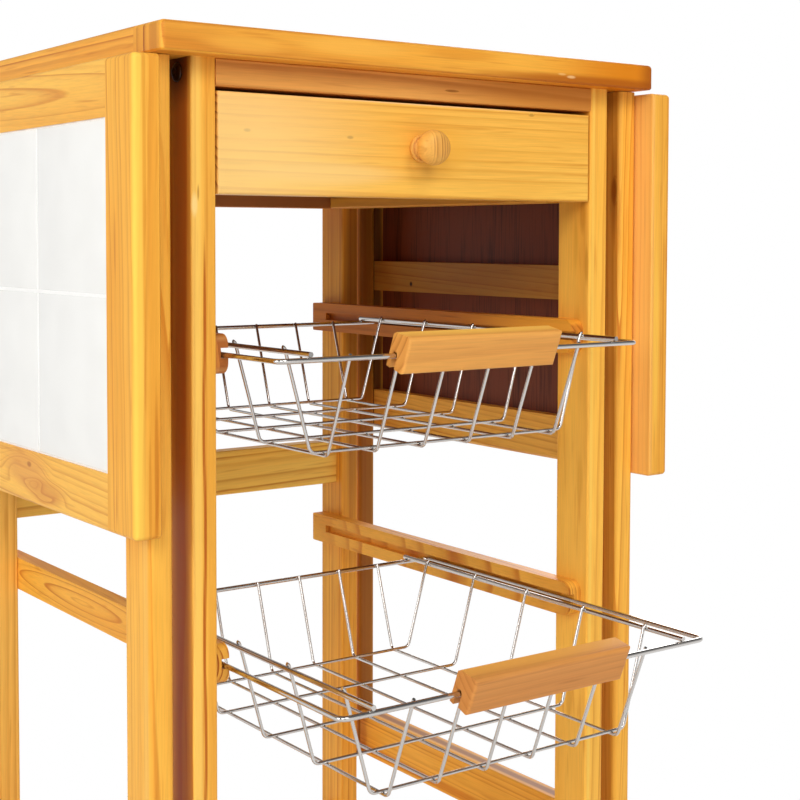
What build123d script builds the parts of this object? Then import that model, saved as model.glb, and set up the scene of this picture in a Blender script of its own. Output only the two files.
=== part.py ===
from build123d import *
import os
from math import atan2, cos, sin, sqrt

os.makedirs("parts", exist_ok=True)

# Drop-leaf kitchen cart in millimetres: X runs to the right as seen from the front, Y to the rear, Z up.
# The origin is on the floor, in the middle of the cart's width and of its depth with the baskets drawn out.

# Overall sizes
height = 756.0  # floor to the tiles of the top
bay_width = 291.0  # clear width between the left and right legs
tile_pitch = 100.0  # tile and joint
tile_columns = 3  # from the front to the rear of the top and of each leaf

# Tiled panels
top_thick = 16.8
end_board = 34.0  # width of the boards in front of and behind the tiles
leaf_rail = 33.0  # width of the boards above and below a leaf's tiles
edge_round = 3.0  # of the edges round the tiled face and of the corners
back_ease = 1.0  # flat on the edges of the back
ply_thick = 3.0
tile_thick = 4.1
tile_low = 0.3  # how far the tiles lie below the boards
tile_bevel = 0.7
tile_joint = 2.2
grout_low = 0.9  # how far the grout lies below the tiles
let_in = 5.0  # how far the plywood reaches into its groove
batten_width = 25.4
overhang = 16.5  # of the top past the legs, in front and behind

# Frame
leg_width = 16.0
leg_depth = 32.0
wood_ease = 1.5  # rounding of the legs' long edges
rail_ease = 0.8  # flat on the rails' long edges
rail_thick = 14.0
apron_height = 77.25
front_rail_height = 15.8
front_rail_depth = 30.0
rear_rail_drop = 293.6  # from the tiles to its upper edge
rear_rail_height = 36.0
bottom_rail_height = 36.0
bottom_rail_level = 107.0  # from the floor to its lower edge
bolt_radius = 3.0
bolt_head_radius = 5.5
bolt_head_height = 2.2

# Gates, the frames that carry the raised leaves
gate_gap = 12.2  # between a leg and its gate
gate_thick = 15.0
gate_post_depth = 32.5
gate_stile_depth = 19.0
gate_rail_height = 37.4
gate_rail_drop = 49.0  # from the tiles to the upper rail
gate_drop = 572.6  # from the tiles to the gate's foot
gate_top_gap = 0.5
gate_ease = 3.0  # rounding of the upright edges
pivot_radius = 2.5
pivot_reach = 7.0  # of a pivot pin into the top, and into the stile
bracket_thick = 2.0
bracket_height = 26.0

# Leaf hinges
knuckle_radius = 1.6
hinge_pin_radius = 0.8
hinge_plate = 1.0
hinge_drop = 1.0  # from the top's underside, and from a leaf's back, to the pin's middle
hinge_bevel = 2.0  # of the back edges of the boards, which makes room for the knuckles
hinge_width = 22.0  # of one plate
hinge_length = 42.0
hinge_inset = 75.0  # from the ends of the frame to the middle of a hinge
raised_gap = 0.2  # more than the joint between the top and a raised leaf
leaf_clear = 0.3  # between a hanging leaf and its gate
joint_gap = 0.7  # between the top's edge and the plane of a leaf's back

# Drawer
drawer_gap = 2.6  # above the front
drawer_side_gap = 1.2  # between the front and a leg
drawer_front_thick = 16.0
drawer_stop_gap = 27.0  # between the shut drawer and the rear apron
drawer_side_height = 40.0
drawer_board = 10.0
drawer_box_gap = 2.0  # between a drawer side and its apron
drawer_bottom_thick = 3.0
drawer_bottom_rise = 3.0  # of the bottom above the lower edge of the sides
drawer_groove = 4.0
guide_height = 9.0
guide_width = 12.0
slide_gap = 0.3
knob_radius = 11.0
knob_foot = (2.0, 8.5)  # length and radius of the ring on the front
knob_neck = (4.5, 6.3)  # where the knob is thinnest, and its radius there
knob_length = 19.0
knob_rim = (8.5, 12.5)  # where the head is widest, from the front
knob_crown = 5.0  # radius of the flat on the head
knob_dome = 2.5  # slope round that flat
knob_peg_radius = 4.0
knob_peg = 9.0

# Basket runners
runner_thick = 11.0
runner_height = 23.5
runner_inset = (6.0, 3.0)  # from the legs' front and rear faces to the runner's ends
runner_rounds = (7.0, 1.5)  # of its front and rear ends
upper_runner_drop = 174.9
lower_runner_drop = 357.5
groove_drop = 8.0
groove_height = 6.0
groove_depth = 5.0
groove_stop = 20.0  # wood left behind the groove

# Wire baskets
rod_radius = 2.0
wire_radius = 1.3
basket_length = 287.0
basket_depth = 57.0
slide_rod_inset = 8.5  # from the bay's side to a slide rod
body_inset = 20.0  # from a slide rod to the rod that carries the side wires
long_wire_pitch = 35.2
long_wires = 6
cross_wire_pitch = 56.8
cross_wires = 5
front_slope = 23.0  # how far the front wall runs in from rim to bottom
rear_slope = 19.0
side_slope = 17.0
wire_bend = 4.0  # cut across each bend of a wire
rim_bend = 4.0  # and across the rim's corners
wire_sides = 8  # wires repeat, so their section has few faces
weld_gap = 0.02  # between wires that are welded where they cross
upper_basket_out = 54.0  # rim in front of the legs
lower_basket_out = 115.0

# Basket handles
handle_length = 117.0
handle_rise = 15.5  # of the front face above the middle of the rim
handle_rear_rise = 13.0
handle_front_drop = 8.0
handle_rear_drop = 9.0
handle_front_thick = 10.5
handle_rear_thick = 5.5
handle_ease = 2.0
slot_clear = 0.2

# Casters
caster_height = 54.0
caster_trail = 10.0
wheel_radius = 20.0
wheel_width = 14.0
tread_bevel = 2.5
axle_radius = 2.0
stem_radius = 4.0
stem_length = 25.0
collar_radius = 7.0
collar_height = 2.0
cheek_thick = 1.6
fork_plate = 2.0
fork_length = 22.0
boss_radius = 5.0

# Fits
fit = 0.05  # between pieces that are let into each other
running = 0.05  # between a pin and its bore
side_play = 0.4  # beside a turning knuckle or wheel

# Places that follow from the sizes
top_under = height - top_thick
top_length = tile_columns * tile_pitch + 2 * end_board
frame_depth = top_length - 2 * overhang
leg_outer = bay_width / 2 + leg_width
gate_inner = leg_outer + gate_gap
gate_outer = gate_inner + gate_thick
leaf_inner = gate_outer + leaf_clear
top_half = leaf_inner - joint_gap
side_board = top_half - tile_columns * tile_pitch / 2
slope_angle = atan2(front_slope, basket_depth)
side_angle = atan2(side_slope, basket_depth)
handle_reach = handle_front_thick * cos(slope_angle) + handle_rise * sin(slope_angle)
y_front = (lower_basket_out + handle_reach - frame_depth - overhang) / 2
y_rear = y_front + frame_depth
y_middle = (y_front + y_rear) / 2
y_front_leg = y_front + leg_depth / 2
y_rear_leg = y_rear - leg_depth / 2
apron_bottom = top_under - apron_height
leaf_length = 2 * tile_pitch + 2 * leaf_rail
leaf_top = top_under - 2 * hinge_drop - raised_gap
hinge_x = leaf_inner - hinge_drop
hinge_z = top_under - hinge_drop
pivot_x = gate_inner + gate_thick / 2
pivot_y = y_rear - gate_stile_depth / 2
gate_bottom = height - gate_drop
sides = (("left", -1), ("right", 1))


def write(piece, name):
    piece.part.label = name
    export_step(piece.part, f"parts/{name}.step")


def middle(span):
    return (span[0] + span[1]) / 2


# A straight board between the faces given by x, y and z, with the edges along its grain eased.
def board(x, y, z, along, ease=rail_ease, both_sides=False):
    with BuildPart() as piece:
        with BuildSketch(Plane.XY.offset(z[0])):
            with Locations((middle(x), middle(y))):
                Rectangle(abs(x[1] - x[0]), y[1] - y[0])
        extrude(amount=z[1] - z[0])
        chamfer(piece.edges().filter_by(along), ease)
        if both_sides:
            mirror(about=Plane.YZ)
    return piece


# The whole outline of a tiled panel, rounded where the hand meets it
def rounded_blank(back, length, width):
    outward = Axis(back.origin, back.z_dir)
    with BuildPart() as blank:
        with BuildSketch(back):
            Rectangle(length, width)
        extrude(amount=top_thick)
        fillet(blank.edges().filter_by(outward) + blank.faces().sort_by(outward)[-1].edges(), edge_round)
        chamfer(blank.faces().sort_by(outward)[0].edges(), back_ease)
    return blank.part


# A framed panel of tiles on plywood. The plane of its back has x along the tile columns, front to rear,
# and z out through the tiles. The end boards run the full width; the cross boards and a batten on the
# plywood's back fit between them.
def tiled_panel(name, back, rows, cross_board, end_name, cross_name, bores=()):
    field_x = tile_columns * tile_pitch
    field_y = rows * tile_pitch
    width = field_y + 2 * cross_board
    ply_back = top_thick - tile_low - tile_thick - ply_thick
    ply_front = ply_back + ply_thick

    blank = rounded_blank(back, top_length, width)

    with BuildPart() as ends:
        add(blank)
        with BuildSketch(back):
            Rectangle(field_x, 2 * width)
        extrude(amount=top_thick, mode=Mode.SUBTRACT)
        with BuildSketch(back.offset(ply_back - fit)):
            Rectangle(field_x + 2 * let_in, field_y + 2 * let_in)
        extrude(amount=ply_thick + 2 * fit, mode=Mode.SUBTRACT)
        for bore in bores:
            with BuildSketch(back):
                with Locations(bore):
                    Circle(pivot_radius + fit)
            extrude(amount=pivot_reach + 1, mode=Mode.SUBTRACT)
    write(ends, f"{name}_{end_name}")

    with BuildPart() as cross_boards:
        add(blank)
        with BuildSketch(back):
            Rectangle(field_x, 2 * width)
        extrude(amount=top_thick, mode=Mode.INTERSECT)
        with BuildSketch(back):
            Rectangle(field_x, field_y)
        extrude(amount=top_thick, mode=Mode.SUBTRACT)
        with BuildSketch(back.offset(ply_back - fit)):
            Rectangle(field_x + 2 * let_in, field_y + 2 * let_in)
        extrude(amount=ply_thick + 2 * fit, mode=Mode.SUBTRACT)
        with BuildSketch(back):
            Rectangle(field_x, batten_width)
        extrude(amount=ply_back)
        with BuildSketch(Plane(origin=back.origin, x_dir=back.y_dir, z_dir=back.x_dir)):
            with Locations((-width / 2, 0), (width / 2, 0)):
                Rectangle(hinge_bevel * sqrt(2), hinge_bevel * sqrt(2), rotation=45)
        extrude(amount=field_x / 2, both=True, mode=Mode.SUBTRACT)
    write(cross_boards, f"{name}_{cross_name}")

    with BuildPart() as panel:
        with BuildSketch(back.offset(ply_back)):
            Rectangle(field_x + 2 * (let_in - fit), field_y + 2 * (let_in - fit))
        extrude(amount=ply_thick)
    write(panel, f"{name}_panel")

    outward = Axis(back.origin, back.z_dir)
    with BuildPart() as tiles:
        with BuildSketch(back.offset(ply_front)):
            with GridLocations(tile_pitch, tile_pitch, tile_columns, rows):
                Rectangle(tile_pitch - tile_joint, tile_pitch - tile_joint)
        extrude(amount=tile_thick)
        chamfer(tiles.edges().group_by(outward)[-1], tile_bevel)
    write(tiles, f"{name}_tiles")

    with BuildPart() as grout:
        with BuildSketch(back.offset(ply_front)):
            Rectangle(field_x, field_y)
            with GridLocations(tile_pitch, tile_pitch, tile_columns, rows):
                Rectangle(tile_pitch - tile_joint, tile_pitch - tile_joint, mode=Mode.SUBTRACT)
        extrude(amount=tile_thick - grout_low)
    write(grout, f"{name}_grout")


# Top and leaves
top_back = Plane(origin=(0, y_middle, top_under), x_dir=(0, 1, 0), z_dir=(0, 0, 1))
pivot_bores = [(pivot_y - y_middle, side * pivot_x) for _, side in sides]
tiled_panel("top", top_back, 3, side_board, "end_boards", "side_boards", pivot_bores)

for side_name, side in sides:
    leaf_back = Plane(
        origin=(side * leaf_inner, y_middle, leaf_top - leaf_length / 2), x_dir=(0, 1, 0), z_dir=(side, 0, 0)
    )
    tiled_panel(f"leaf_{side_name}", leaf_back, 2, leaf_rail, "stiles", "rails")

# Rails and aprons
rear_rail_z = (height - rear_rail_drop - rear_rail_height, height - rear_rail_drop)
front_rail_z = (top_under - front_rail_height, top_under)
apron_z = (apron_bottom, top_under)
bottom_rail_z = (bottom_rail_level, bottom_rail_level + bottom_rail_height)
between_legs = (-bay_width / 2, bay_width / 2)
behind_front_leg = (y_front + leg_depth, y_rear - leg_depth)
side_rail_x = (bay_width / 2, bay_width / 2 + rail_thick)
rear_rail_y = (y_rear_leg - rail_thick / 2, y_rear_leg + rail_thick / 2)
front_cross_y = (y_front_leg - rail_thick / 2, y_front_leg + rail_thick / 2)

front_rail = board(between_legs, (y_front, y_front + front_rail_depth), front_rail_z, Axis.X)
write(front_rail, "front_rail")
rear_apron = board(between_legs, rear_rail_y, apron_z, Axis.X)
write(rear_apron, "rear_apron")
rear_rail = board(between_legs, rear_rail_y, rear_rail_z, Axis.X)
write(rear_rail, "rear_rail")
side_aprons = board(side_rail_x, behind_front_leg, apron_z, Axis.Y, both_sides=True)
write(side_aprons, "side_aprons")
bottom_front_rail = board(between_legs, front_cross_y, bottom_rail_z, Axis.X)
write(bottom_front_rail, "bottom_front_rail")
bottom_rear_rail = board(between_legs, rear_rail_y, bottom_rail_z, Axis.X)
write(bottom_rear_rail, "bottom_rear_rail")
bottom_side_rails = board(side_rail_x, behind_front_leg, bottom_rail_z, Axis.Y, both_sides=True)
write(bottom_side_rails, "bottom_side_rails")

# Legs, bored for the caster stems and for the bolts that hold the cross rails
bolts = {
    "front": (y_front_leg, (middle(front_rail_z), middle(bottom_rail_z))),
    "rear": (y_rear_leg, (middle(apron_z), middle(rear_rail_z), middle(bottom_rail_z))),
}
for end_name, (leg_y, bolt_levels) in bolts.items():
    for side_name, side in sides:
        leg_x = side * (bay_width + leg_width) / 2
        with BuildPart() as leg:
            with BuildSketch(Plane.XY.offset(caster_height)):
                with Locations((leg_x, leg_y)):
                    Rectangle(leg_width, leg_depth)
            extrude(amount=top_under - caster_height)
            fillet(leg.edges().filter_by(Axis.Z), wood_ease)
            with BuildSketch(Plane.XY.offset(caster_height)):
                with Locations((leg_x, leg_y)):
                    Circle(stem_radius + running)
            extrude(amount=stem_length + 1, mode=Mode.SUBTRACT)
            with BuildSketch(Plane.YZ.offset(leg_x)):
                with Locations([(leg_y, level) for level in bolt_levels]):
                    RegularPolygon(bolt_radius + fit, 6)
            extrude(amount=leg_width / 2, both=True, mode=Mode.SUBTRACT)
        write(leg, f"leg_{end_name}_{side_name}")

with BuildPart() as frame_bolts:
    for leg_y, bolt_levels in bolts.values():
        for level in bolt_levels:
            with BuildSketch(Plane.YZ.offset(bay_width / 2)):
                with Locations((leg_y, level)):
                    RegularPolygon(bolt_radius, 6)
            extrude(amount=leg_width)
            with BuildSketch(Plane.YZ.offset(leg_outer)):
                with Locations((leg_y, level)):
                    RegularPolygon(bolt_head_radius, 6)
            extrude(amount=bolt_head_height)
    mirror(about=Plane.YZ)
write(frame_bolts, "frame_bolts")

# Gates
gate_x = (gate_inner, gate_outer)
gate_post_y = (y_front, y_front + gate_post_depth)
gate_stile_y = (y_rear - gate_stile_depth, y_rear)
gate_z = (gate_bottom, top_under - gate_top_gap)
gate_rail_tops = (gate_bottom + gate_rail_height, height - gate_rail_drop)
for side_name, side in sides:
    with BuildPart() as gate_post:
        with BuildSketch(Plane.XY.offset(gate_z[0])):
            with Locations((side * pivot_x, middle(gate_post_y))):
                Rectangle(gate_thick, gate_post_depth)
        extrude(amount=gate_z[1] - gate_z[0])
        fillet(gate_post.edges().filter_by(Axis.Z), gate_ease)
    write(gate_post, f"gate_{side_name}_post")

    with BuildPart() as gate_stile:
        with BuildSketch(Plane.XY.offset(gate_z[0])):
            with Locations((side * pivot_x, pivot_y)):
                Rectangle(gate_thick, gate_stile_depth)
        extrude(amount=gate_z[1] - gate_z[0])
        fillet(gate_stile.edges().filter_by(Axis.Z), gate_ease)
        with BuildSketch(Plane.XY.offset(gate_z[0])):
            with Locations((side * pivot_x, pivot_y)):
                Circle(pivot_radius + fit)
        extrude(amount=pivot_reach + 1, mode=Mode.SUBTRACT)
        with BuildSketch(Plane.XY.offset(gate_z[1] - pivot_reach - 1)):
            with Locations((side * pivot_x, pivot_y)):
                Circle(pivot_radius + fit)
        extrude(amount=pivot_reach + 1, mode=Mode.SUBTRACT)
    write(gate_stile, f"gate_{side_name}_stile")

    with BuildPart() as gate_rails:
        for rail_top in gate_rail_tops:
            with BuildSketch(Plane.XY.offset(rail_top - gate_rail_height)):
                with Locations((side * pivot_x, (gate_post_y[1] + gate_stile_y[0]) / 2)):
                    Rectangle(gate_thick, gate_stile_y[0] - gate_post_y[1])
            extrude(amount=gate_rail_height)
        chamfer(gate_rails.edges().filter_by(Axis.Y), rail_ease)
    write(gate_rails, f"gate_{side_name}_rails")

# The gates' pivots: a pin in the top, and a steel angle with a pin on each rear leg, under the stile
with BuildPart() as gate_pivots:
    shelf_z = gate_bottom - fit
    with BuildSketch(Plane.XZ.offset(-y_rear)):
        with Locations((leg_outer + bracket_thick / 2, shelf_z - bracket_height / 2)):
            Rectangle(bracket_thick, bracket_height)
        with Locations(((leg_outer + gate_outer) / 2, shelf_z - bracket_thick / 2)):
            Rectangle(gate_outer - leg_outer, bracket_thick)
    extrude(amount=gate_stile_depth)
    chamfer(gate_pivots.edges().filter_by(Axis.Z).group_by(Axis.X)[-1], gate_thick / 4)
    with BuildSketch(Plane.XY.offset(shelf_z)):
        with Locations((pivot_x, pivot_y)):
            Circle(pivot_radius)
    extrude(amount=pivot_reach)
    with BuildSketch(Plane.XY.offset(gate_z[1] - pivot_reach)):
        with Locations((pivot_x, pivot_y)):
            Circle(pivot_radius)
    extrude(amount=2 * pivot_reach + gate_top_gap)
    mirror(about=Plane.YZ)
write(gate_pivots, "gate_pivots")

# Leaf hinges: the plates under the top carry the outer knuckles and the pin, the leaf's the middle one
knuckle_length = hinge_length / 3
hinge_middles = (y_front + hinge_inset, y_rear - hinge_inset)
for side_name, side in sides:
    with BuildPart() as hinge_fixed:
        for hinge_y in hinge_middles:
            with BuildSketch(Plane.XZ.offset(-hinge_y - hinge_length / 2)):
                with Locations((side * (hinge_x - hinge_width / 2), top_under - hinge_plate / 2)):
                    Rectangle(hinge_width, hinge_plate)
                with Locations((side * hinge_x, hinge_z)):
                    Circle(knuckle_radius)
            extrude(amount=hinge_length)
            with BuildSketch(Plane.XZ.offset(-hinge_y - knuckle_length / 2 - side_play / 2)):
                with Locations((side * hinge_x, hinge_z)):
                    Rectangle(2 * (knuckle_radius + side_play), 2 * (knuckle_radius + side_play))
                    Circle(hinge_pin_radius, mode=Mode.SUBTRACT)
            extrude(amount=knuckle_length + side_play, mode=Mode.SUBTRACT)
    write(hinge_fixed, f"hinge_{side_name}_top")

    with BuildPart() as hinge_leaf:
        for hinge_y in hinge_middles:
            with BuildSketch(Plane.XZ.offset(-hinge_y - hinge_length / 2)):
                with Locations((side * (leaf_inner - hinge_plate / 2), hinge_z - hinge_width / 2)):
                    Rectangle(hinge_plate, hinge_width)
            extrude(amount=hinge_length)
            with BuildSketch(Plane.XZ.offset(-hinge_y - hinge_length / 2)):
                with Locations((side * hinge_x, hinge_z)):
                    Rectangle(2 * (knuckle_radius + side_play), 2 * (knuckle_radius + side_play))
            extrude(amount=hinge_length, mode=Mode.SUBTRACT)
            with BuildSketch(Plane.XZ.offset(-hinge_y - knuckle_length / 2 + side_play / 2)):
                with Locations((side * (leaf_inner - hinge_plate / 2), hinge_z - hinge_width / 4)):
                    Rectangle(hinge_plate, hinge_width / 2)
                with Locations((side * hinge_x, hinge_z)):
                    Circle(knuckle_radius)
                    Circle(hinge_pin_radius + running, mode=Mode.SUBTRACT)
            extrude(amount=knuckle_length - side_play)
    write(hinge_leaf, f"hinge_{side_name}_leaf")

# Drawer
front_half = bay_width / 2 - drawer_side_gap
front_z = (apron_bottom, top_under - front_rail_height - drawer_gap)
box_half = bay_width / 2 - drawer_box_gap
box_bottom = apron_bottom + guide_height + slide_gap
box_y = (y_front + drawer_front_thick, rear_rail_y[0] - drawer_stop_gap)
panel_z = box_bottom + drawer_bottom_rise
panel_half = box_half - drawer_board + drawer_groove
panel_y = (box_y[0] - drawer_groove, box_y[1])
knob_z = middle(front_z)

with BuildPart() as drawer_front:
    with BuildSketch(Plane.XZ.offset(-box_y[0])):
        with Locations((0, middle(front_z))):
            Rectangle(2 * front_half, front_z[1] - front_z[0])
    extrude(amount=drawer_front_thick)
    fillet(drawer_front.faces().sort_by(Axis.Y)[0].edges(), wood_ease)
    with BuildSketch(Plane.XY.offset(panel_z - fit)):
        with Locations((0, box_y[0] - drawer_groove / 2)):
            Rectangle(2 * panel_half + 2 * fit, drawer_groove)
    extrude(amount=drawer_bottom_thick + 2 * fit, mode=Mode.SUBTRACT)
    with BuildSketch(Plane.XZ.offset(-y_front)):
        with Locations((0, knob_z)):
            Circle(knob_peg_radius + fit)
    extrude(amount=-(knob_peg + 1), mode=Mode.SUBTRACT)
write(drawer_front, "drawer_front")

with BuildPart() as drawer_sides:
    with BuildSketch(Plane.XY.offset(box_bottom)):
        with Locations((box_half - drawer_board / 2, middle(box_y))):
            Rectangle(drawer_board, box_y[1] - box_y[0])
    extrude(amount=drawer_side_height)
    chamfer(drawer_sides.edges().group_by(Axis.Z)[-1].filter_by(Axis.Y), rail_ease)
    with BuildSketch(Plane.XY.offset(panel_z - fit)):
        with Locations((0, middle(box_y))):
            Rectangle(2 * (panel_half + fit), box_y[1] - box_y[0])
    extrude(amount=drawer_bottom_thick + 2 * fit, mode=Mode.SUBTRACT)
    mirror(about=Plane.YZ)
write(drawer_sides, "drawer_sides")

back_z = (panel_z + drawer_bottom_thick + fit, box_bottom + drawer_side_height)
inside_box = (drawer_board - box_half, box_half - drawer_board)
drawer_back = board(inside_box, (box_y[1] - drawer_board, box_y[1]), back_z, Axis.X)
write(drawer_back, "drawer_back")

with BuildPart() as drawer_bottom:
    with BuildSketch(Plane.XY.offset(panel_z)):
        with Locations((0, middle(panel_y))):
            Rectangle(2 * panel_half, panel_y[1] - panel_y[0])
    extrude(amount=drawer_bottom_thick)
write(drawer_bottom, "drawer_bottom")

# The knob is turned about its own axis, with its peg let into the front
with BuildPart() as drawer_knob:
    with BuildSketch(Plane.YZ):
        with BuildLine():
            Polyline(
                (y_front + knob_peg, knob_z),
                (y_front + knob_peg, knob_z + knob_peg_radius),
                (y_front, knob_z + knob_peg_radius),
                (y_front, knob_z + knob_foot[1]),
                (y_front - knob_foot[0], knob_z + knob_foot[1]),
                (y_front - knob_neck[0], knob_z + knob_neck[1]),
                (y_front - knob_rim[0], knob_z + knob_radius),
                (y_front - knob_rim[1], knob_z + knob_radius),
                (y_front - knob_length + knob_dome, knob_z + knob_crown + knob_dome),
                (y_front - knob_length, knob_z + knob_crown),
                (y_front - knob_length, knob_z),
                close=True,
            )
        make_face()
    revolve(axis=Axis((0, y_front, knob_z), (0, 1, 0)))
write(drawer_knob, "drawer_knob")

# Strips on the side aprons that the drawer slides on, and the ones above that keep it level
with BuildPart() as drawer_guides:
    guide_levels = (apron_bottom + guide_height / 2, box_bottom + drawer_side_height + guide_height / 2 + 1)
    with BuildSketch(Plane.XZ.offset(-behind_front_leg[1])):
        with Locations([(bay_width / 2 - guide_width / 2, level) for level in guide_levels]):
            Rectangle(guide_width, guide_height)
    extrude(amount=behind_front_leg[1] - behind_front_leg[0])
    chamfer(drawer_guides.edges().filter_by(Axis.Y).group_by(Axis.X)[0], rail_ease)
    mirror(about=Plane.YZ)
write(drawer_guides, "drawer_guides")

# Basket runners: grooved strips on the inner faces of the legs
runner_inner = bay_width / 2 - runner_thick
runner_y = (y_front + runner_inset[0], y_rear - runner_inset[1])
for level_name, runner_drop in (("upper", upper_runner_drop), ("lower", lower_runner_drop)):
    runner_top = height - runner_drop
    with BuildPart() as runners:
        with BuildSketch(Plane.YZ.offset(runner_inner)) as outline:
            with Locations((middle(runner_y), runner_top - runner_height / 2)):
                Rectangle(runner_y[1] - runner_y[0], runner_height)
            fillet(outline.vertices().sort_by(Axis.X)[:2], runner_rounds[0])
            fillet(outline.vertices().sort_by(Axis.X)[-2:], runner_rounds[1])
        extrude(amount=runner_thick)
        with BuildSketch(Plane.XZ.offset(-(runner_y[1] - groove_stop))):
            with Locations((runner_inner + groove_depth / 2, runner_top - groove_drop - groove_height / 2)):
                Rectangle(groove_depth, groove_height)
        extrude(amount=frame_depth, mode=Mode.SUBTRACT)
        mirror(about=Plane.YZ)
    write(runners, f"basket_runners_{level_name}")

# Wire baskets. The slide rods and the end rims are one bent rod; two straight rods lie across the rims and
# carry the cross wires; long wires hang from the rims and lie on the cross wires at the bottom. Each wire
# stays a solid of its own, as near to the others as a weld.
rod_half = bay_width / 2 - slide_rod_inset
body_half = rod_half - body_inset
long_wire_places = [(i - (long_wires - 1) / 2) * long_wire_pitch for i in range(long_wires)]
cross_wire_places = [(i - (cross_wires - 1) / 2) * cross_wire_pitch for i in range(cross_wires)]


def basket_wires(rim_y, rim_z):
    rear_y = rim_y + basket_length
    body_z = rim_z + 2 * rod_radius + weld_gap
    long_bottom = rim_z - basket_depth
    cross_bottom = long_bottom - 2 * wire_radius - weld_gap
    under_rim = rim_z - rod_radius - wire_radius * sin(slope_angle) - weld_gap
    under_body = body_z - rod_radius - wire_radius * sin(side_angle) - weld_gap
    with BuildPart() as wires:
        with BuildLine(Plane.XY.offset(rim_z)) as rim:
            Polyline(
                (0, rim_y), (rod_half, rim_y), (rod_half, rear_y), (-rod_half, rear_y), (-rod_half, rim_y), (0, rim_y)
            )
            chamfer(rim.vertices().filter_by(lambda v: abs(v.X) > 1), rim_bend)
        with BuildSketch(Plane(origin=(0, rim_y, rim_z), z_dir=(1, 0, 0))):
            RegularPolygon(rod_radius, wire_sides)
        sweep(path=rim.line, transition=Transition.RIGHT)
        with BuildSketch(Plane.XZ.offset(-(rear_y + rod_radius))):
            with Locations((-body_half, body_z), (body_half, body_z)):
                RegularPolygon(rod_radius, wire_sides)
        extrude(amount=basket_length + 2 * rod_radius)
        for x in long_wire_places:
            with BuildLine(Plane.YZ.offset(x)) as path:
                Polyline(
                    (rim_y, under_rim),
                    (rim_y + front_slope, long_bottom),
                    (rear_y - rear_slope, long_bottom),
                    (rear_y, under_rim),
                )
                chamfer(path.vertices().group_by(Axis.Z)[0], wire_bend)
            with BuildSketch(Plane(origin=path.line @ 0, z_dir=path.line % 0)):
                RegularPolygon(wire_radius, wire_sides)
            sweep(path=path.line, transition=Transition.RIGHT)
        for place in cross_wire_places:
            y = (rim_y + rear_y) / 2 + place
            with BuildLine(Plane.XZ.offset(-y)) as path:
                Polyline(
                    (-body_half, under_body),
                    (side_slope - body_half, cross_bottom),
                    (body_half - side_slope, cross_bottom),
                    (body_half, under_body),
                )
                chamfer(path.vertices().group_by(Axis.Z)[0], wire_bend)
            with BuildSketch(Plane(origin=path.line @ 0, z_dir=path.line % 0)):
                RegularPolygon(wire_radius, wire_sides)
            sweep(path=path.line, transition=Transition.RIGHT)
    return wires


# A handle straddles the front rim: its slot follows the slope of the front wires
def basket_handle(rim_y, rim_z):
    grip = Plane(
        origin=(-handle_length / 2, rim_y, rim_z),
        x_dir=(0, cos(slope_angle), sin(slope_angle)),
        z_dir=(1, 0, 0),
    )
    slot_half = rod_radius + slot_clear
    with BuildPart() as handle:
        with BuildSketch(grip):
            with BuildLine():
                Polyline(
                    (-handle_front_thick, -handle_front_drop),
                    (-handle_front_thick, handle_rise),
                    (handle_rear_thick - handle_ease, handle_rear_rise),
                    (handle_rear_thick, handle_rear_rise - handle_ease),
                    (handle_rear_thick, -handle_rear_drop),
                    (slot_half, -handle_rear_drop),
                    (slot_half, 0),
                )
                ThreePointArc((slot_half, 0), (0, slot_half), (-slot_half, 0))
                Polyline(
                    (-slot_half, 0), (-slot_half, -handle_front_drop), (-handle_front_thick, -handle_front_drop)
                )
            make_face()
        extrude(amount=handle_length)
        front_face = handle.faces().filter_by(Plane.YZ, reverse=True).sort_by(Axis.Y)[0]
        fillet(front_face.edges(), handle_ease)
    return handle


for level_name, runner_drop, basket_out in (
    ("upper", upper_runner_drop, upper_basket_out),
    ("lower", lower_runner_drop, lower_basket_out),
):
    rim_y = y_front - basket_out
    rim_z = height - runner_drop - groove_drop - groove_height + rod_radius + slide_gap
    wires = basket_wires(rim_y, rim_z)
    write(wires, f"basket_{level_name}_wires")
    handle = basket_handle(rim_y, rim_z)
    write(handle, f"basket_{level_name}_handle")

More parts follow.
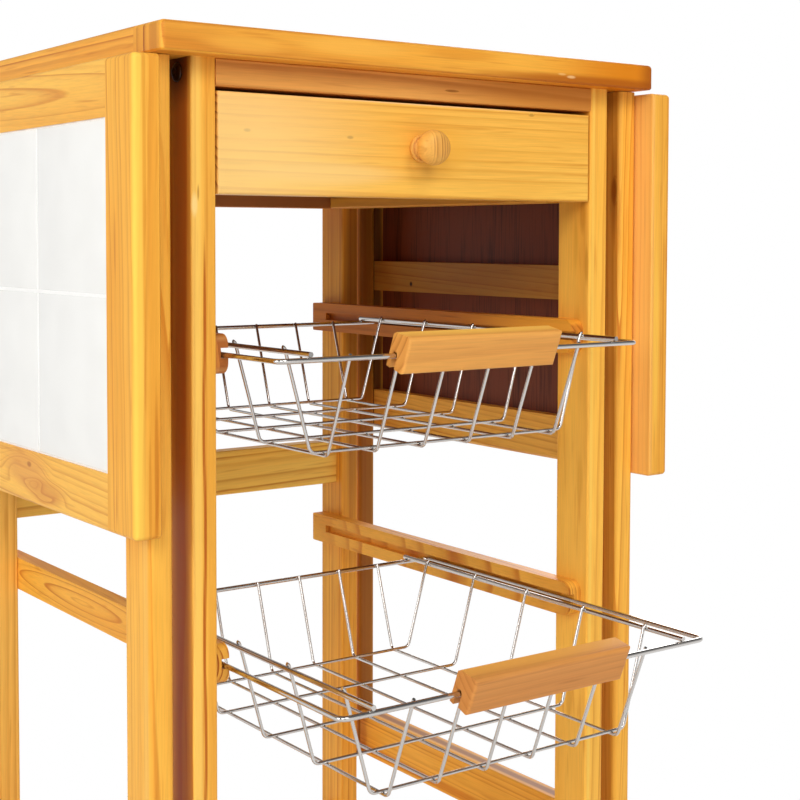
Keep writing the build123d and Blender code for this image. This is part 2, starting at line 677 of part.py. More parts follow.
# Casters: a stem in the leg's end, a pressed fork and a wheel that trails behind the stem
cheek_inner = wheel_width / 2 + side_play
fork_half = cheek_inner + cheek_thick
fork_top = caster_height - slide_gap - collar_height
fork_under = fork_top - fork_plate
for end_name, leg_y in (("front", y_front_leg), ("rear", y_rear_leg)):
    for side_name, side in sides:
        leg_x = side * (bay_width + leg_width) / 2
        wheel_y = leg_y + caster_trail
        with BuildPart() as fork:
            with BuildSketch(Plane.XY.offset(fork_top)):
                with Locations((leg_x, leg_y)):
                    Circle(collar_radius)
            extrude(amount=collar_height)
            with BuildSketch(Plane.XY.offset(caster_height - slide_gap)):
                with Locations((leg_x, leg_y)):
                    Circle(stem_radius)
            extrude(amount=slide_gap + stem_length)
            with BuildSketch(Plane.YZ.offset(leg_x - fork_half)):
                with BuildLine():
                    Line((leg_y - fork_length / 2, fork_top), (leg_y + fork_length / 2, fork_top))
                    CenterArc((wheel_y, wheel_radius), boss_radius, 0, 360)
                make_hull()
            extrude(amount=2 * fork_half)
            with BuildSketch(Plane.XY.offset(fork_under)):
                with Locations((leg_x, leg_y)):
                    Rectangle(2 * cheek_inner, 4 * wheel_radius)
            extrude(amount=-fork_under, mode=Mode.SUBTRACT)
            with BuildSketch(Plane.YZ.offset(leg_x - fork_half)):
                with Locations((wheel_y, wheel_radius)):
                    Circle(axle_radius)
            extrude(amount=2 * fork_half)
        write(fork, f"caster_fork_{end_name}_{side_name}")

        with BuildPart() as wheel:
            with BuildSketch(Plane.XY.offset(wheel_radius)):
                with Locations((leg_x, wheel_y + wheel_radius / 2)):
                    tread = Rectangle(wheel_width, wheel_radius)
                chamfer(tread.vertices().sort_by(Axis.Y)[-2:], tread_bevel)
                with Locations((leg_x, wheel_y)):
                    Rectangle(2 * wheel_width, 2 * (axle_radius + running), mode=Mode.SUBTRACT)
            revolve(axis=Axis((leg_x, wheel_y, wheel_radius), (1, 0, 0)))
        write(wheel, f"caster_wheel_{end_name}_{side_name}")
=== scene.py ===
"""Looks of the drop-leaf kitchen cart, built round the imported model. Lengths are in metres unless named otherwise."""
import logging
from dataclasses import dataclass, replace
from enum import Enum
from math import atan2, cos, pi, radians, sin, tan
from typing import Any, ClassVar, Dict, List, Sequence, Tuple

import bmesh
import bpy
from mathutils import Euler, Matrix, Vector


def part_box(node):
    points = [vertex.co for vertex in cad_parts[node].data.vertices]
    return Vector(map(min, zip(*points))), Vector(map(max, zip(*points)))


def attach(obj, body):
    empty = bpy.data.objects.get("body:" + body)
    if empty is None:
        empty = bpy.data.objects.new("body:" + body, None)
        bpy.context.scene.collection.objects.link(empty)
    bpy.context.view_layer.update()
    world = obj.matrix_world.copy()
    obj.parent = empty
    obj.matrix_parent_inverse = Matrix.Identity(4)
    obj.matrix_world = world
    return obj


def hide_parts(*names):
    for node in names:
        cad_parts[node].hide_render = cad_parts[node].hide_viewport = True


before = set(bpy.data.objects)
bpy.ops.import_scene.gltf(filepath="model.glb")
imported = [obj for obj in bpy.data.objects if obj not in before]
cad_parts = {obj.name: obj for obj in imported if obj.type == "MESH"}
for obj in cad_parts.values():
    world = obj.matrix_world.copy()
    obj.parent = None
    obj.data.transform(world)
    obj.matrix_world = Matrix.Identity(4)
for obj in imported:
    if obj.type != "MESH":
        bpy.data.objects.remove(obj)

MM = 0.001
LEFT, RIGHT = "left", "right"
UP, ACROSS, REARWARD = Vector((0.0, 0.0, 1.0)), Vector((1.0, 0.0, 0.0)), Vector((0.0, 1.0, 0.0))
WHITE = (1.0, 1.0, 1.0, 1.0)

Triple = Tuple[float, float, float]
Material = bpy.types.Material
Tree = bpy.types.NodeTree
Socket = bpy.types.NodeSocket
Shape = bmesh.types.BMesh

log = logging.getLogger("cart")


def linear(code: str) -> Tuple[float, float, float, float]:
    """Turns an sRGB colour into the linear one that shaders use.

    Args:
        code: The colour as #RRGGBB.

    Returns:
        Linear red, green, blue and an alpha of 1.
    """
    parts = [int(code[i : i + 2], 16) / 255 for i in (1, 3, 5)]
    red, green, blue = (p / 12.92 if p <= 0.04045 else ((p + 0.055) / 1.055) ** 2.4 for p in parts)
    return red, green, blue, 1.0


def feed(tree: Tree, node: bpy.types.Node, inputs: Dict[Any, Any]) -> None:
    """Fills a node's inputs.

    Args:
        tree: The node tree.
        node: The node.
        inputs: A value, or another node's output, for each input by name or number.
    """
    for key, value in inputs.items():
        if isinstance(value, Socket):
            tree.links.new(value, node.inputs[key])
        else:
            node.inputs[key].default_value = value


def add_node(
    tree: Tree,
    kind: str,
    inputs: Dict[Any, Any] | None = None,
    stops: Sequence[Tuple[float, Any]] = (),
    **settings: Any,
) -> bpy.types.Node:
    """Adds a shader node with its settings, values and links.

    Args:
        tree: The node tree.
        kind: The node's type name.
        inputs: A value, or another node's output, for each input by name or number.
        stops: Positions and grey values or colours, for a node with a colour ramp.
        **settings: The node's own properties.

    Returns:
        The new node.
    """
    node = tree.nodes.new(kind)
    for name, value in settings.items():
        setattr(node, name, value)
    feed(tree, node, inputs or {})
    for i, (position, value) in enumerate(stops):
        ramp = node.color_ramp.elements
        stop = ramp[i] if i < 2 else ramp.new(position)
        stop.position = position
        stop.color = linear(value) if isinstance(value, str) else (value, value, value, 1.0)
    return node


def new_material(name: str) -> Tuple[Material, Tree, bpy.types.Node]:
    """Makes an empty material with a Principled shader.

    Args:
        name: The material's name.

    Returns:
        The material, its node tree and the shader node.
    """
    material = bpy.data.materials.new(name)
    material.use_nodes = True
    tree = material.node_tree
    tree.nodes.clear()
    shader = add_node(tree, "ShaderNodeBsdfPrincipled")
    add_node(tree, "ShaderNodeOutputMaterial", {"Surface": shader.outputs["BSDF"]})
    return material, tree, shader


def placed(tree: Tree, **own: Any) -> Socket:
    """Gives the object's coordinates as seen from a place of its own Location, Rotation and Scale."""
    inputs = {"Vector": add_node(tree, "ShaderNodeTexCoord").outputs["Object"], **own}
    return add_node(tree, "ShaderNodeMapping", inputs, vector_type="TEXTURE").outputs["Vector"]


def sums(tree: Tree, operation: str, *values: Any, clamp: bool = False) -> Socket:
    """Works out a maths operation on up to three values."""
    node = add_node(tree, "ShaderNodeMath", dict(enumerate(values)), operation=operation, use_clamp=clamp)
    return node.outputs["Value"]


def vector_sums(tree: Tree, operation: str, *values: Any) -> Socket:
    """Works out a vector operation, and gives its vector, its length or its dot product."""
    node = add_node(tree, "ShaderNodeVectorMath", dict(enumerate(values)), operation=operation)
    return node.outputs["Value" if operation in ("LENGTH", "DOT_PRODUCT") else "Vector"]


def remap(
    tree: Tree, value: Any, start: float, end: float, low: float = 0.0, high: float = 1.0, smooth: bool = False
) -> Socket:
    """Maps a value from start..end to low..high, in a straight line or with soft ends."""
    inputs = {"Value": value, "From Min": start, "From Max": end, "To Min": low, "To Max": high}
    ends = {"interpolation_type": "SMOOTHSTEP" if smooth else "LINEAR"}
    return add_node(tree, "ShaderNodeMapRange", inputs, **ends).outputs["Result"]


def mixed(tree: Tree, share: Socket, first: Any, second: Any) -> Socket:
    """Mixes two colours, each a #RRGGBB code or an output, by the share of the second."""
    first, second = (linear(colour) if isinstance(colour, str) else colour for colour in (first, second))
    return add_node(tree, "ShaderNodeMix", {0: share, 6: first, 7: second}, data_type="RGBA").outputs[2]


def noise(tree: Tree, vector: Socket, patch: float, detail: float) -> Socket:
    """Makes soft noise, from 0 to 1, with patches of about a width in mm."""
    inputs = {"Vector": vector, "Scale": 1 / (patch * MM), "Detail": detail}
    return add_node(tree, "ShaderNodeTexNoise", inputs).outputs["Fac"]


def relief(tree: Tree, height: Socket, strength: float, depth: float) -> Socket:
    """Turns a pattern into the tilt of a surface, for a relief up to a depth in mm."""
    inputs = {"Height": height, "Strength": strength, "Distance": depth * MM}
    return add_node(tree, "ShaderNodeBump", inputs).outputs["Normal"]


class Grain(Enum):
    """Which way a board's fibres run."""

    ALONG_X = (1.0, 0.0, 0.0)
    ALONG_Y = (0.0, 1.0, 0.0)
    ALONG_Z = (0.0, 0.0, 1.0)

    def turn(self, lean: Triple = (0.0, 0.0, 0.0)) -> Euler:
        """Gives the turn from X to the fibres, which may lean by some degrees towards the other axes."""
        fibres = Vector(self.value) + Vector([tan(radians(angle)) for angle in lean])
        return fibres.to_track_quat("X", "Z" if self is Grain.ALONG_Y else "Y").to_euler()


@dataclass(frozen=True)
class Mark:
    """A knot, streak or scuff in a board, or a painted highlight or painted shade on it.

    Attributes:
        place: Its middle, in mm from the board's middle.
        size: Its half lengths along X, Y and Z, in mm.
        colour: Its colour.
        strength: How much it covers, from 0 to 1.
        swell: How far it pushes the growth rings aside, in mm.
    """

    place: Triple
    size: Triple
    colour: str
    strength: float
    swell: float = 0.0


@dataclass(frozen=True)
class Tone:
    """The colours of a board: its pale early wood, dark late wood, deeper patches, and rings on the sawn ends."""

    early: str
    late: str
    deep: str
    soaked: str = "#A4520E"


HONEY = Tone("#F8B646", "#C26414", "#E79628")
STRAW = Tone("#F9C154", "#D88C2C", "#EFAA3E")
AMBER = Tone("#F6B040", "#BE6414", "#EA962A")
RUDDY = Tone("#D8924A", "#A65E28", "#C27A3A")
DULL = Tone("#EAA652", "#BC7030", "#D68E42")
LEMON = Tone("#FEC04E", "#CB6C10", "#F0A02C")


@dataclass(frozen=True)
class VarnishedPine:
    """Pine boards planed and sprayed with an orange-tinted satin varnish.

    The eye sees pale early wood between darker rings, fine fibres along the board, short resin
    streaks, and a soft sheen over all of it.

    Attributes:
        name: The material's name.
        grain: Which way the fibres run.
        pith: The middle of the growth rings, in mm from the board's middle.
        tone: The colours.
        ring: Width of a growth ring in mm.
        lean: Slope of the log's line towards X, Y and Z, in degrees.
        wander: How far the rings wander, in mm.
        wave: How often they wander along the board, against across it.
        contrast: Strength of the late wood, from 0 to 1.
        marks: Knots, streaks and scuffs, and painted highlights and painted shade.
    """

    name: str
    grain: Grain
    pith: Triple
    tone: Tone = HONEY
    ring: float = 5.5
    lean: Triple = (0.6, 0.6, 0.5)
    wander: float = 2.0
    wave: float = 0.12
    contrast: float = 0.75
    marks: Tuple[Mark, ...] = ()

    fibre: ClassVar[float] = 0.9  # mm across a bundle of fibres, coarser than real so that it shows
    resin: ClassVar[float] = 2.6  # mm across a resin streak
    stain: ClassVar[float] = 38.0  # mm across a patch of deeper stain
    swing: ClassVar[float] = 45.0  # mm from one turn of the rings to the next
    fibre_stretch: ClassVar[float] = 0.03  # a fibre bundle's width over its length
    resin_stretch: ClassVar[float] = 0.05
    stain_stretch: ClassVar[float] = 0.18
    roughness: ClassVar[float] = 0.45
    sheen_level: ClassVar[float] = 0.2  # a thin varnish on open fibres mirrors less than a full film
    # A year's growth, from pale early wood to its dark last line: places in the year and darkness
    year: ClassVar[Tuple[Tuple[float, float], ...]] = (
        (0.0, 0.0), (1.0, 0.0), (0.30, 0.08), (0.62, 0.35), (0.84, 1.0), (0.92, 0.9)
    )

    def material(self, middle: Vector) -> Material:
        """Makes the material for a board.

        Args:
            middle: The board's middle.

        Returns:
            The material.
        """
        material, tree, shader = new_material(self.name)
        laid = placed(tree, Location=middle + Vector(self.pith) * MM, Rotation=self.grain.turn(self.lean))
        masks = [self._mark_mask(tree, middle, mark) for mark in self.marks]
        radius = self._from_pith(tree, laid)
        for mark, mask in zip(self.marks, masks):
            if mark.swell:
                radius = sums(tree, "MULTIPLY_ADD", mask, mark.swell * MM, radius)
        late = self._late_wood(tree, radius)
        colour = self._colour(tree, laid, late)
        for mark, mask in zip(self.marks, masks):
            cover = sums(tree, "MULTIPLY", mask, mark.strength, clamp=True)
            colour = mixed(tree, cover, colour, mark.colour)
        fibres = self._fibres(tree, laid)
        surface = {
            "Base Color": self._end_grain(tree, colour, late),
            "Roughness": remap(tree, fibres, 0.0, 1.0, self.roughness - 0.05, self.roughness + 0.07),
            "Specular IOR Level": self.sheen_level,
            "Normal": relief(tree, sums(tree, "MULTIPLY_ADD", late, 0.5, fibres), 0.12, 0.15),
        }
        feed(tree, shader, surface)
        return material

    @staticmethod
    def _stretched(tree: Tree, vector: Socket, along: float) -> Socket:
        """Scales a laid vector along the fibres, so that a pattern is drawn out that way."""
        return vector_sums(tree, "MULTIPLY", vector, (along, 1.0, 1.0))

    @staticmethod
    def _mark_mask(tree: Tree, middle: Vector, mark: Mark) -> Socket:
        """Makes a soft mask that is 1 in a mark and 0 outside it."""
        near = placed(tree, Location=middle + Vector(mark.place) * MM, Scale=Vector(mark.size) * MM)
        return remap(tree, vector_sums(tree, "LENGTH", near), 1.0, 0.35, smooth=True)

    def _from_pith(self, tree: Tree, laid: Socket) -> Socket:
        """Works out the distance from the pith, which wanders along the log.

        Args:
            tree: The node tree.
            laid: Coordinates with the fibres along X.

        Returns:
            The distance.
        """
        inputs = {
            "Vector": self._stretched(tree, laid, self.wave),
            "Scale": 1 / (self.swing * MM),
            "Detail": 2.0,
            "Roughness": 0.45,
        }
        turns = add_node(tree, "ShaderNodeTexNoise", inputs).outputs["Color"]
        centred = vector_sums(tree, "SUBTRACT", turns, (0.5, 0.5, 0.5))
        reach = 2 * self.wander * MM
        moved = vector_sums(tree, "MULTIPLY_ADD", centred, (0.0, reach, reach), laid)
        return vector_sums(tree, "LENGTH", self._stretched(tree, moved, 0.0))

    def _late_wood(self, tree: Tree, radius: Socket) -> Socket:
        """Draws the growth rings, of uneven width and darkness.

        Args:
            tree: The node tree.
            radius: Distance from the pith.

        Returns:
            How much late wood there is, from 0 to 1.
        """
        rings = sums(tree, "DIVIDE", radius, self.ring * MM)
        inputs = {"W": rings, "Scale": 0.45, "Detail": 1.0}
        uneven = add_node(tree, "ShaderNodeTexNoise", inputs, noise_dimensions="1D").outputs["Fac"]
        count = sums(tree, "MULTIPLY_ADD", uneven, 2.2, rings)
        line = add_node(tree, "ShaderNodeValToRGB", {"Fac": sums(tree, "FRACT", count)}, self.year)
        number = {"W": sums(tree, "FLOOR", count)}
        dry = add_node(tree, "ShaderNodeTexWhiteNoise", number, noise_dimensions="1D").outputs["Value"]
        share = remap(tree, dry, 0.0, 1.0, 0.3 * self.contrast, self.contrast)
        return sums(tree, "MULTIPLY", line.outputs["Color"], share)

    def _fibres(self, tree: Tree, laid: Socket) -> Socket:
        """Draws the fibre bundles, as a value round 0.5."""
        return noise(tree, self._stretched(tree, laid, self.fibre_stretch), self.fibre, 3.0)

    def _colour(self, tree: Tree, laid: Socket, late: Socket) -> Socket:
        """Mixes early and late wood, the stain's slow changes, fibres and resin streaks.

        Args:
            tree: The node tree.
            laid: Coordinates with the fibres along X.
            late: How much late wood there is.

        Returns:
            The colour.
        """
        ringed = mixed(tree, late, self.tone.early, self.tone.late)
        patches = noise(tree, self._stretched(tree, laid, self.stain_stretch), self.stain, 2.0)
        stained = mixed(tree, remap(tree, patches, 0.42, 0.72, 0.0, 0.6), ringed, self.tone.deep)
        fibres = remap(tree, self._fibres(tree, laid), 0.3, 0.7, 0.93, 1.05)
        brushed = add_node(tree, "ShaderNodeVectorMath", {0: stained, "Scale": fibres}, operation="SCALE")
        resin = noise(tree, self._stretched(tree, laid, self.resin_stretch), self.resin, 1.0)
        streaks = remap(tree, resin, 0.62, 0.80, 0.0, 0.5)
        return mixed(tree, streaks, brushed.outputs["Vector"], self.tone.late)

    def _end_grain(self, tree: Tree, colour: Socket, late: Socket) -> Socket:
        """Deepens the rings on a board's sawn ends, which soak up more stain.

        Args:
            tree: The node tree.
            colour: The colour along the board.
            late: How much late wood there is.

        Returns:
            The colour with deeper ends.
        """
        normal = add_node(tree, "ShaderNodeTexCoord").outputs["Normal"]
        facing = sums(tree, "ABSOLUTE", vector_sums(tree, "DOT_PRODUCT", normal, self.grain.value))
        sawn = mixed(tree, remap(tree, late, 0.0, 0.5, 0.15, 1.0), self.tone.early, self.tone.soaked)
        return mixed(tree, remap(tree, facing, 0.75, 0.95, 0.0, 0.8), colour, sawn)


@dataclass(frozen=True)
class StainedPlywood:
    """Thin rotary-cut plywood stained dark brown. The eye sees fine dark streaks along its face veneer."""

    name: str
    grain: Grain
    pale: str = "#7C3D23"
    dark: str = "#492110"
    streak: float = 1.6  # mm across a streak
    band: float = 22.0  # mm across a broad band
    stretch: float = 0.035  # a streak's width over its length

    def material(self) -> Material:
        """Makes the material.

        Returns:
            The material.
        """
        material, tree, shader = new_material(self.name)
        laid = placed(tree, Rotation=self.grain.turn())
        drawn = vector_sums(tree, "MULTIPLY", laid, (self.stretch, 1.0, 1.0))
        fine = noise(tree, drawn, self.streak, 4.0)
        both = sums(tree, "ADD", fine, noise(tree, drawn, self.band, 2.0))
        veneer = add_node(tree, "ShaderNodeValToRGB", {"Fac": both}, ((0.72, self.dark), (1.25, self.pale)))
        surface = {
            "Base Color": veneer.outputs["Color"],
            "Roughness": 0.55,
            "Specular IOR Level": 0.3,
            "Normal": relief(tree, fine, 0.25, 0.2),
        }
        feed(tree, shader, surface)
        return material


@dataclass(frozen=True)
class Mottled:
    """A plain material whose colour and surface vary from spot to spot.

    Attributes:
        name: The material's name.
        stops: Places in the pattern, from 0 to 1, and their colours.
        roughness: Its roughness.
        spot: Width of a spot in mm.
        detail: How many finer patterns lie in it.
        strength: How strongly the relief shows.
        depth: Depth of the relief in mm.
    """

    name: str
    stops: Tuple[Tuple[float, str], ...]
    roughness: float
    spot: float
    detail: float
    strength: float
    depth: float

    def material(self) -> Material:
        """Makes the material.

        Returns:
            The material.
        """
        material, tree, shader = new_material(self.name)
        spots = noise(tree, add_node(tree, "ShaderNodeTexCoord").outputs["Object"], self.spot, self.detail)
        tint = add_node(tree, "ShaderNodeValToRGB", {"Fac": spots}, self.stops).outputs["Color"]
        normal = relief(tree, spots, self.strength, self.depth)
        feed(tree, shader, {"Base Color": tint, "Roughness": self.roughness, "Normal": normal})
        return material


# White wall tile under a clear fired glaze: a wet gloss over a surface that is not quite flat
TILE = Mottled("white_glazed_tile", ((0.3, "#EFEEEA"), (0.7, "#F3F2EE")), 0.15, 28.0, 1.0, 0.12, 0.3)
# White cement wiped into the joints: a dry line, brighter than the glaze, with grit coarser than real so that it shows
GROUT = Mottled("white_cement_grout", ((0.3, "#F7F6F2"), (0.6, "#FEFDFB")), 0.9, 0.7, 2.0, 0.4, 0.3)
# Black nylon from a mould: a dull black with a faint sheen and a fine mould texture
NYLON = Mottled("black_moulded_nylon", ((0.35, "#161617"), (0.65, "#1C1C1D")), 0.45, 0.8, 2.0, 0.3, 0.1)


@dataclass(frozen=True)
class Metal:
    """A metal surface. The eye sees its reflections, blurred by its roughness and broken by fine marks.

    Attributes:
        name: The material's name, for the metal and how it is finished.
        colour: Its colour.
        roughness: Its roughness.
        spread: How much the fine marks change the roughness.
        mark: Width of the fine marks in mm.
        relief: Height of the marks in mm.
    """

    name: str
    colour: str
    roughness: float
    spread: float
    mark: float
    relief: float = 0.01

    def material(self) -> Material:
        """Makes the material.

        Returns:
            The material.
        """
        material, tree, shader = new_material(self.name)
        marks = noise(tree, add_node(tree, "ShaderNodeTexCoord").outputs["Object"], self.mark, 3.0)
        surface = {
            "Base Color": linear(self.colour),
            "Metallic": 1.0,
            "Roughness": remap(tree, marks, 0.0, 1.0, self.roughness, self.roughness + self.spread),
            "Normal": relief(tree, marks, 0.3, self.relief),
        }
        feed(tree, shader, surface)
        return material


CHROME = Metal("bright_chrome_plate", "#CCC8C4", 0.10, 0.04, 3.0, 0.004)  # mirror-bright, with a faint haze
ZINC = Metal("zinc_plated_steel", "#A7A6A2", 0.34, 0.12, 0.9)  # grey and satin, slightly mottled
BLACK_OXIDE = Metal("black_oxide_steel", "#4A3A32", 0.26, 0.10, 0.8)  # nearly black, with soft highlights


def middle_of(node: str) -> Vector:
    """Gives the middle of a CAD node's box."""
    low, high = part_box(node)
    return (low + high) / 2


def dress(node: str, material: Material) -> None:
    """Gives a CAD node its material.

    Args:
        node: The CAD node.
        material: Its finish.
    """
    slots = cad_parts[node].data.materials
    slots.clear()
    slots.append(material)
    log.info("%s: %s", node, material.name)


def dress_pine(node: str, pines: Dict[str, VarnishedPine]) -> None:
    """Dresses a CAD node in a pine of its own, placed from the node's middle."""
    dress(node, pines[node].material(middle_of(node)))


def new_piece(
    name: str, shape: Shape, material: Material, body: str, stands_for: Sequence[str], crease: float | None
) -> None:
    """Makes an object from a finished shape and hangs it on its body.

    Args:
        name: The piece's name.
        shape: Its mesh, in place. It is freed.
        material: Its finish.
        body: The CAD body it moves with.
        stands_for: The CAD nodes it replaces.
        crease: The angle, in degrees, over which an edge stays crisp, or None if none does.
    """
    mesh = bpy.data.meshes.new(name)
    bmesh.ops.recalc_face_normals(shape, faces=shape.faces)
    for face in shape.faces:
        face.smooth = True
    shape.to_mesh(mesh)
    shape.free()
    mesh.materials.append(material)
    piece = bpy.data.objects.new(name, mesh)
    bpy.context.scene.collection.objects.link(piece)
    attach(piece, body)
    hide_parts(*stands_for)
    if crease is not None:
        mesh.set_sharp_from_angle(angle=radians(crease))
    log.info("%s: %d faces", name, len(mesh.polygons))


def verts_of(edges: Sequence[bmesh.types.BMEdge]) -> List[bmesh.types.BMVert]:
    """Gives the vertices of some edges, each once."""
    return list({vert for edge in edges for vert in edge.verts})


class WireBender:
    """Draws a round wire into a mesh the way a wire is bent: straight runs and bends in turn."""

    def __init__(
        self, shape: Shape, radius: float, start: Vector, heading: Vector, sides: int = 10, cap: bool = True
    ) -> None:
        """Starts a wire.

        Args:
            shape: The mesh to draw in.
            radius: The wire's radius.
            start: Where it starts.
            heading: Which way it goes.
            sides: Sides of its section.
            cap: Whether its start is closed.
        """
        self.shape = shape
        self.at = start.copy()
        self.heading = heading.normalized()
        place = Matrix.Translation(start) @ self.heading.to_track_quat("Z", "Y").to_matrix().to_4x4()
        made = bmesh.ops.create_circle(shape, cap_ends=cap, segments=sides, radius=radius, matrix=place)
        self.first = list({edge for vert in made["verts"] for edge in vert.link_edges})
        self.rim = self.first

    def run(self, length: float) -> "WireBender":
        """Goes straight on by a length.

        Args:
            length: The length.

        Returns:
            The bender itself.
        """
        made = bmesh.ops.extrude_edge_only(self.shape, edges=self.rim)["geom"]
        verts = [item for item in made if isinstance(item, bmesh.types.BMVert)]
        edges = [item for item in made if isinstance(item, bmesh.types.BMEdge)]
        self.rim = [edge for edge in edges if all(vert in verts for vert in edge.verts)]
        bmesh.ops.translate(self.shape, verts=verts, vec=self.heading * length)
        self.at += self.heading * length
        return self

    def bend(self, angle: float, radius: float, axis: Vector, steps: int = 5) -> "WireBender":
        """Bends about an axis.

        Args:
            angle: The turn in radians, by the right-hand rule.
            radius: Radius of the wire's middle line.
            axis: The axis of the bend.
            steps: Pieces of the bend.

        Returns:
            The bender itself.
        """
        inward = axis.normalized().cross(self.heading) * (1 if angle > 0 else -1)
        centre = self.at + inward * radius
        made = bmesh.ops.spin(
            self.shape,
            geom=self.rim,
            cent=centre,
            axis=axis,
            angle=angle,
            steps=steps,
            use_merge=False,
            use_duplicate=False,
        )
        self.rim = [item for item in made["geom_last"] if isinstance(item, bmesh.types.BMEdge)]
        turn = Matrix.Rotation(angle, 3, axis)
        self.at = centre + turn @ (self.at - centre)
        self.heading = turn @ self.heading
        return self

    def stop(self) -> None:
        """Closes the wire's end."""
        bmesh.ops.edgeloop_fill(self.shape, edges=self.rim)

    def join(self) -> None:
        """Joins the wire's end to its start."""
        verts = verts_of(self.first) + verts_of(self.rim)
        bmesh.ops.remove_doubles(self.shape, verts=verts, dist=0.05 * MM)


def turned_shape(profile: Sequence[Tuple[float, float]], start: Vector, axis: Vector, steps: int) -> Shape:
    """Turns a profile about an axis, as on a lathe.

    Args:
        profile: Places along the axis and their radii, from one end on the axis to the other.
        start: Where the axis starts.
        axis: Its direction.
        steps: Steps of the full turn.

    Returns:
        The closed shape.
    """
    shape = bmesh.new()
    side = axis.orthogonal().normalized()
    verts = [shape.verts.new(start + axis * along + side * out) for along, out in profile]
    edges = [shape.edges.new(pair) for pair in zip(verts, verts[1:])]
    bmesh.ops.spin(
        shape,
        geom=verts + edges,
        cent=start,
        axis=axis,
        angle=2 * pi,
        steps=steps,
        use_merge=True,
        use_duplicate=False,
    )
    bmesh.ops.remove_doubles(shape, verts=shape.verts, dist=0.001 * MM)
    return shape


def arc(centre: Tuple[float, float], radius: float, start: float, end: float, steps: int) -> List[Tuple[float, float]]:
    """Lists points on an arc of a profile.

    Args:
        centre: The arc's centre.
        radius: Its radius.
        start: Its first angle in degrees.
        end: Its last angle in degrees.
        steps: How many pieces it has.

    Returns:
        The points, both ends included.
    """
    angles = [radians(start + (end - start) * i / steps) for i in range(steps + 1)]
    return [(centre[0] + radius * cos(a), centre[1] + radius * sin(a)) for a in angles]


@dataclass
class TiledPanel:
    """A framed panel of glazed tiles on plywood: the top or a leaf.

    Attributes:
        name: The start of its CAD nodes' names.
        body: The body it moves with.
        boards: Names of its boards' nodes.
        outward: Direction that the tiles face.
        rows: Rows of tiles across the panel.
        columns: Columns of tiles from front to rear.
        joint: Width of a joint.
        round_over: Radius of the tiles' edges.
        sunk: How far the tiles are pressed towards the joints.
        crisp: The angle in degrees over which an edge of a tile stays crisp.
    """

    name: str
    body: str
    boards: Tuple[str, ...]
    outward: Vector
    rows: int
    columns: int = 3
    joint: float = 2.2 * MM
    round_over: float = 0.25 * MM
    sunk: float = 0.6 * MM
    crisp: float = 50.0

    def build(self, pines: Dict[str, VarnishedPine], tile: Material, grout: Material, ply: Material) -> None:
        """Dresses the boards and lays the tiles.

        Args:
            pines: The pine of each board, by node.
            tile: The tiles' finish.
            grout: The joints' finish.
            ply: The plywood's finish.
        """
        for part in self.boards:
            dress_pine(f"{self.name}_{part}", pines)
        dress(f"{self.name}_panel", ply)
        dress(f"{self.name}_grout", grout)
        self._lay_tiles(tile)

    def _lay_tiles(self, tile: Material) -> None:
        """Lays rounded tiles where the CAD has its plain ones.

        Args:
            tile: Their finish.
        """
        node = f"{self.name}_tiles"
        low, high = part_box(node)
        up = self.outward.cross(REARWARD)
        size = high - low
        pitch = (size.y + self.joint) / self.columns
        side, thick = pitch - self.joint, abs(size.dot(self.outward)) - self.sunk
        middle = (low + high) / 2 - self.outward * self.sunk / 2
        turn = Matrix((REARWARD, up, self.outward)).transposed().to_4x4()
        shape = bmesh.new()
        for column in range(self.columns):
            for row in range(self.rows):
                offset = (REARWARD * (column - (self.columns - 1) / 2) + up * (row - (self.rows - 1) / 2)) * pitch
                place = Matrix.Translation(middle + offset) @ turn @ Matrix.Diagonal((side, side, thick, 1.0))
                made = bmesh.ops.create_cube(shape, size=1.0, matrix=place)
                edges = {edge for vert in made["verts"] for edge in vert.link_edges}
                face_edges = [e for e in edges if all((v.co - middle).dot(self.outward) > 0 for v in e.verts)]
                bmesh.ops.bevel(
                    shape,
                    geom=face_edges,
                    offset=self.round_over,
                    offset_type="OFFSET",
                    segments=3,
                    profile=0.5,
                    affect="EDGES",
                    material=-1,
                )
        new_piece(f"{self.name}_glazed_tiles", shape, tile, self.body, (node,), self.crisp)


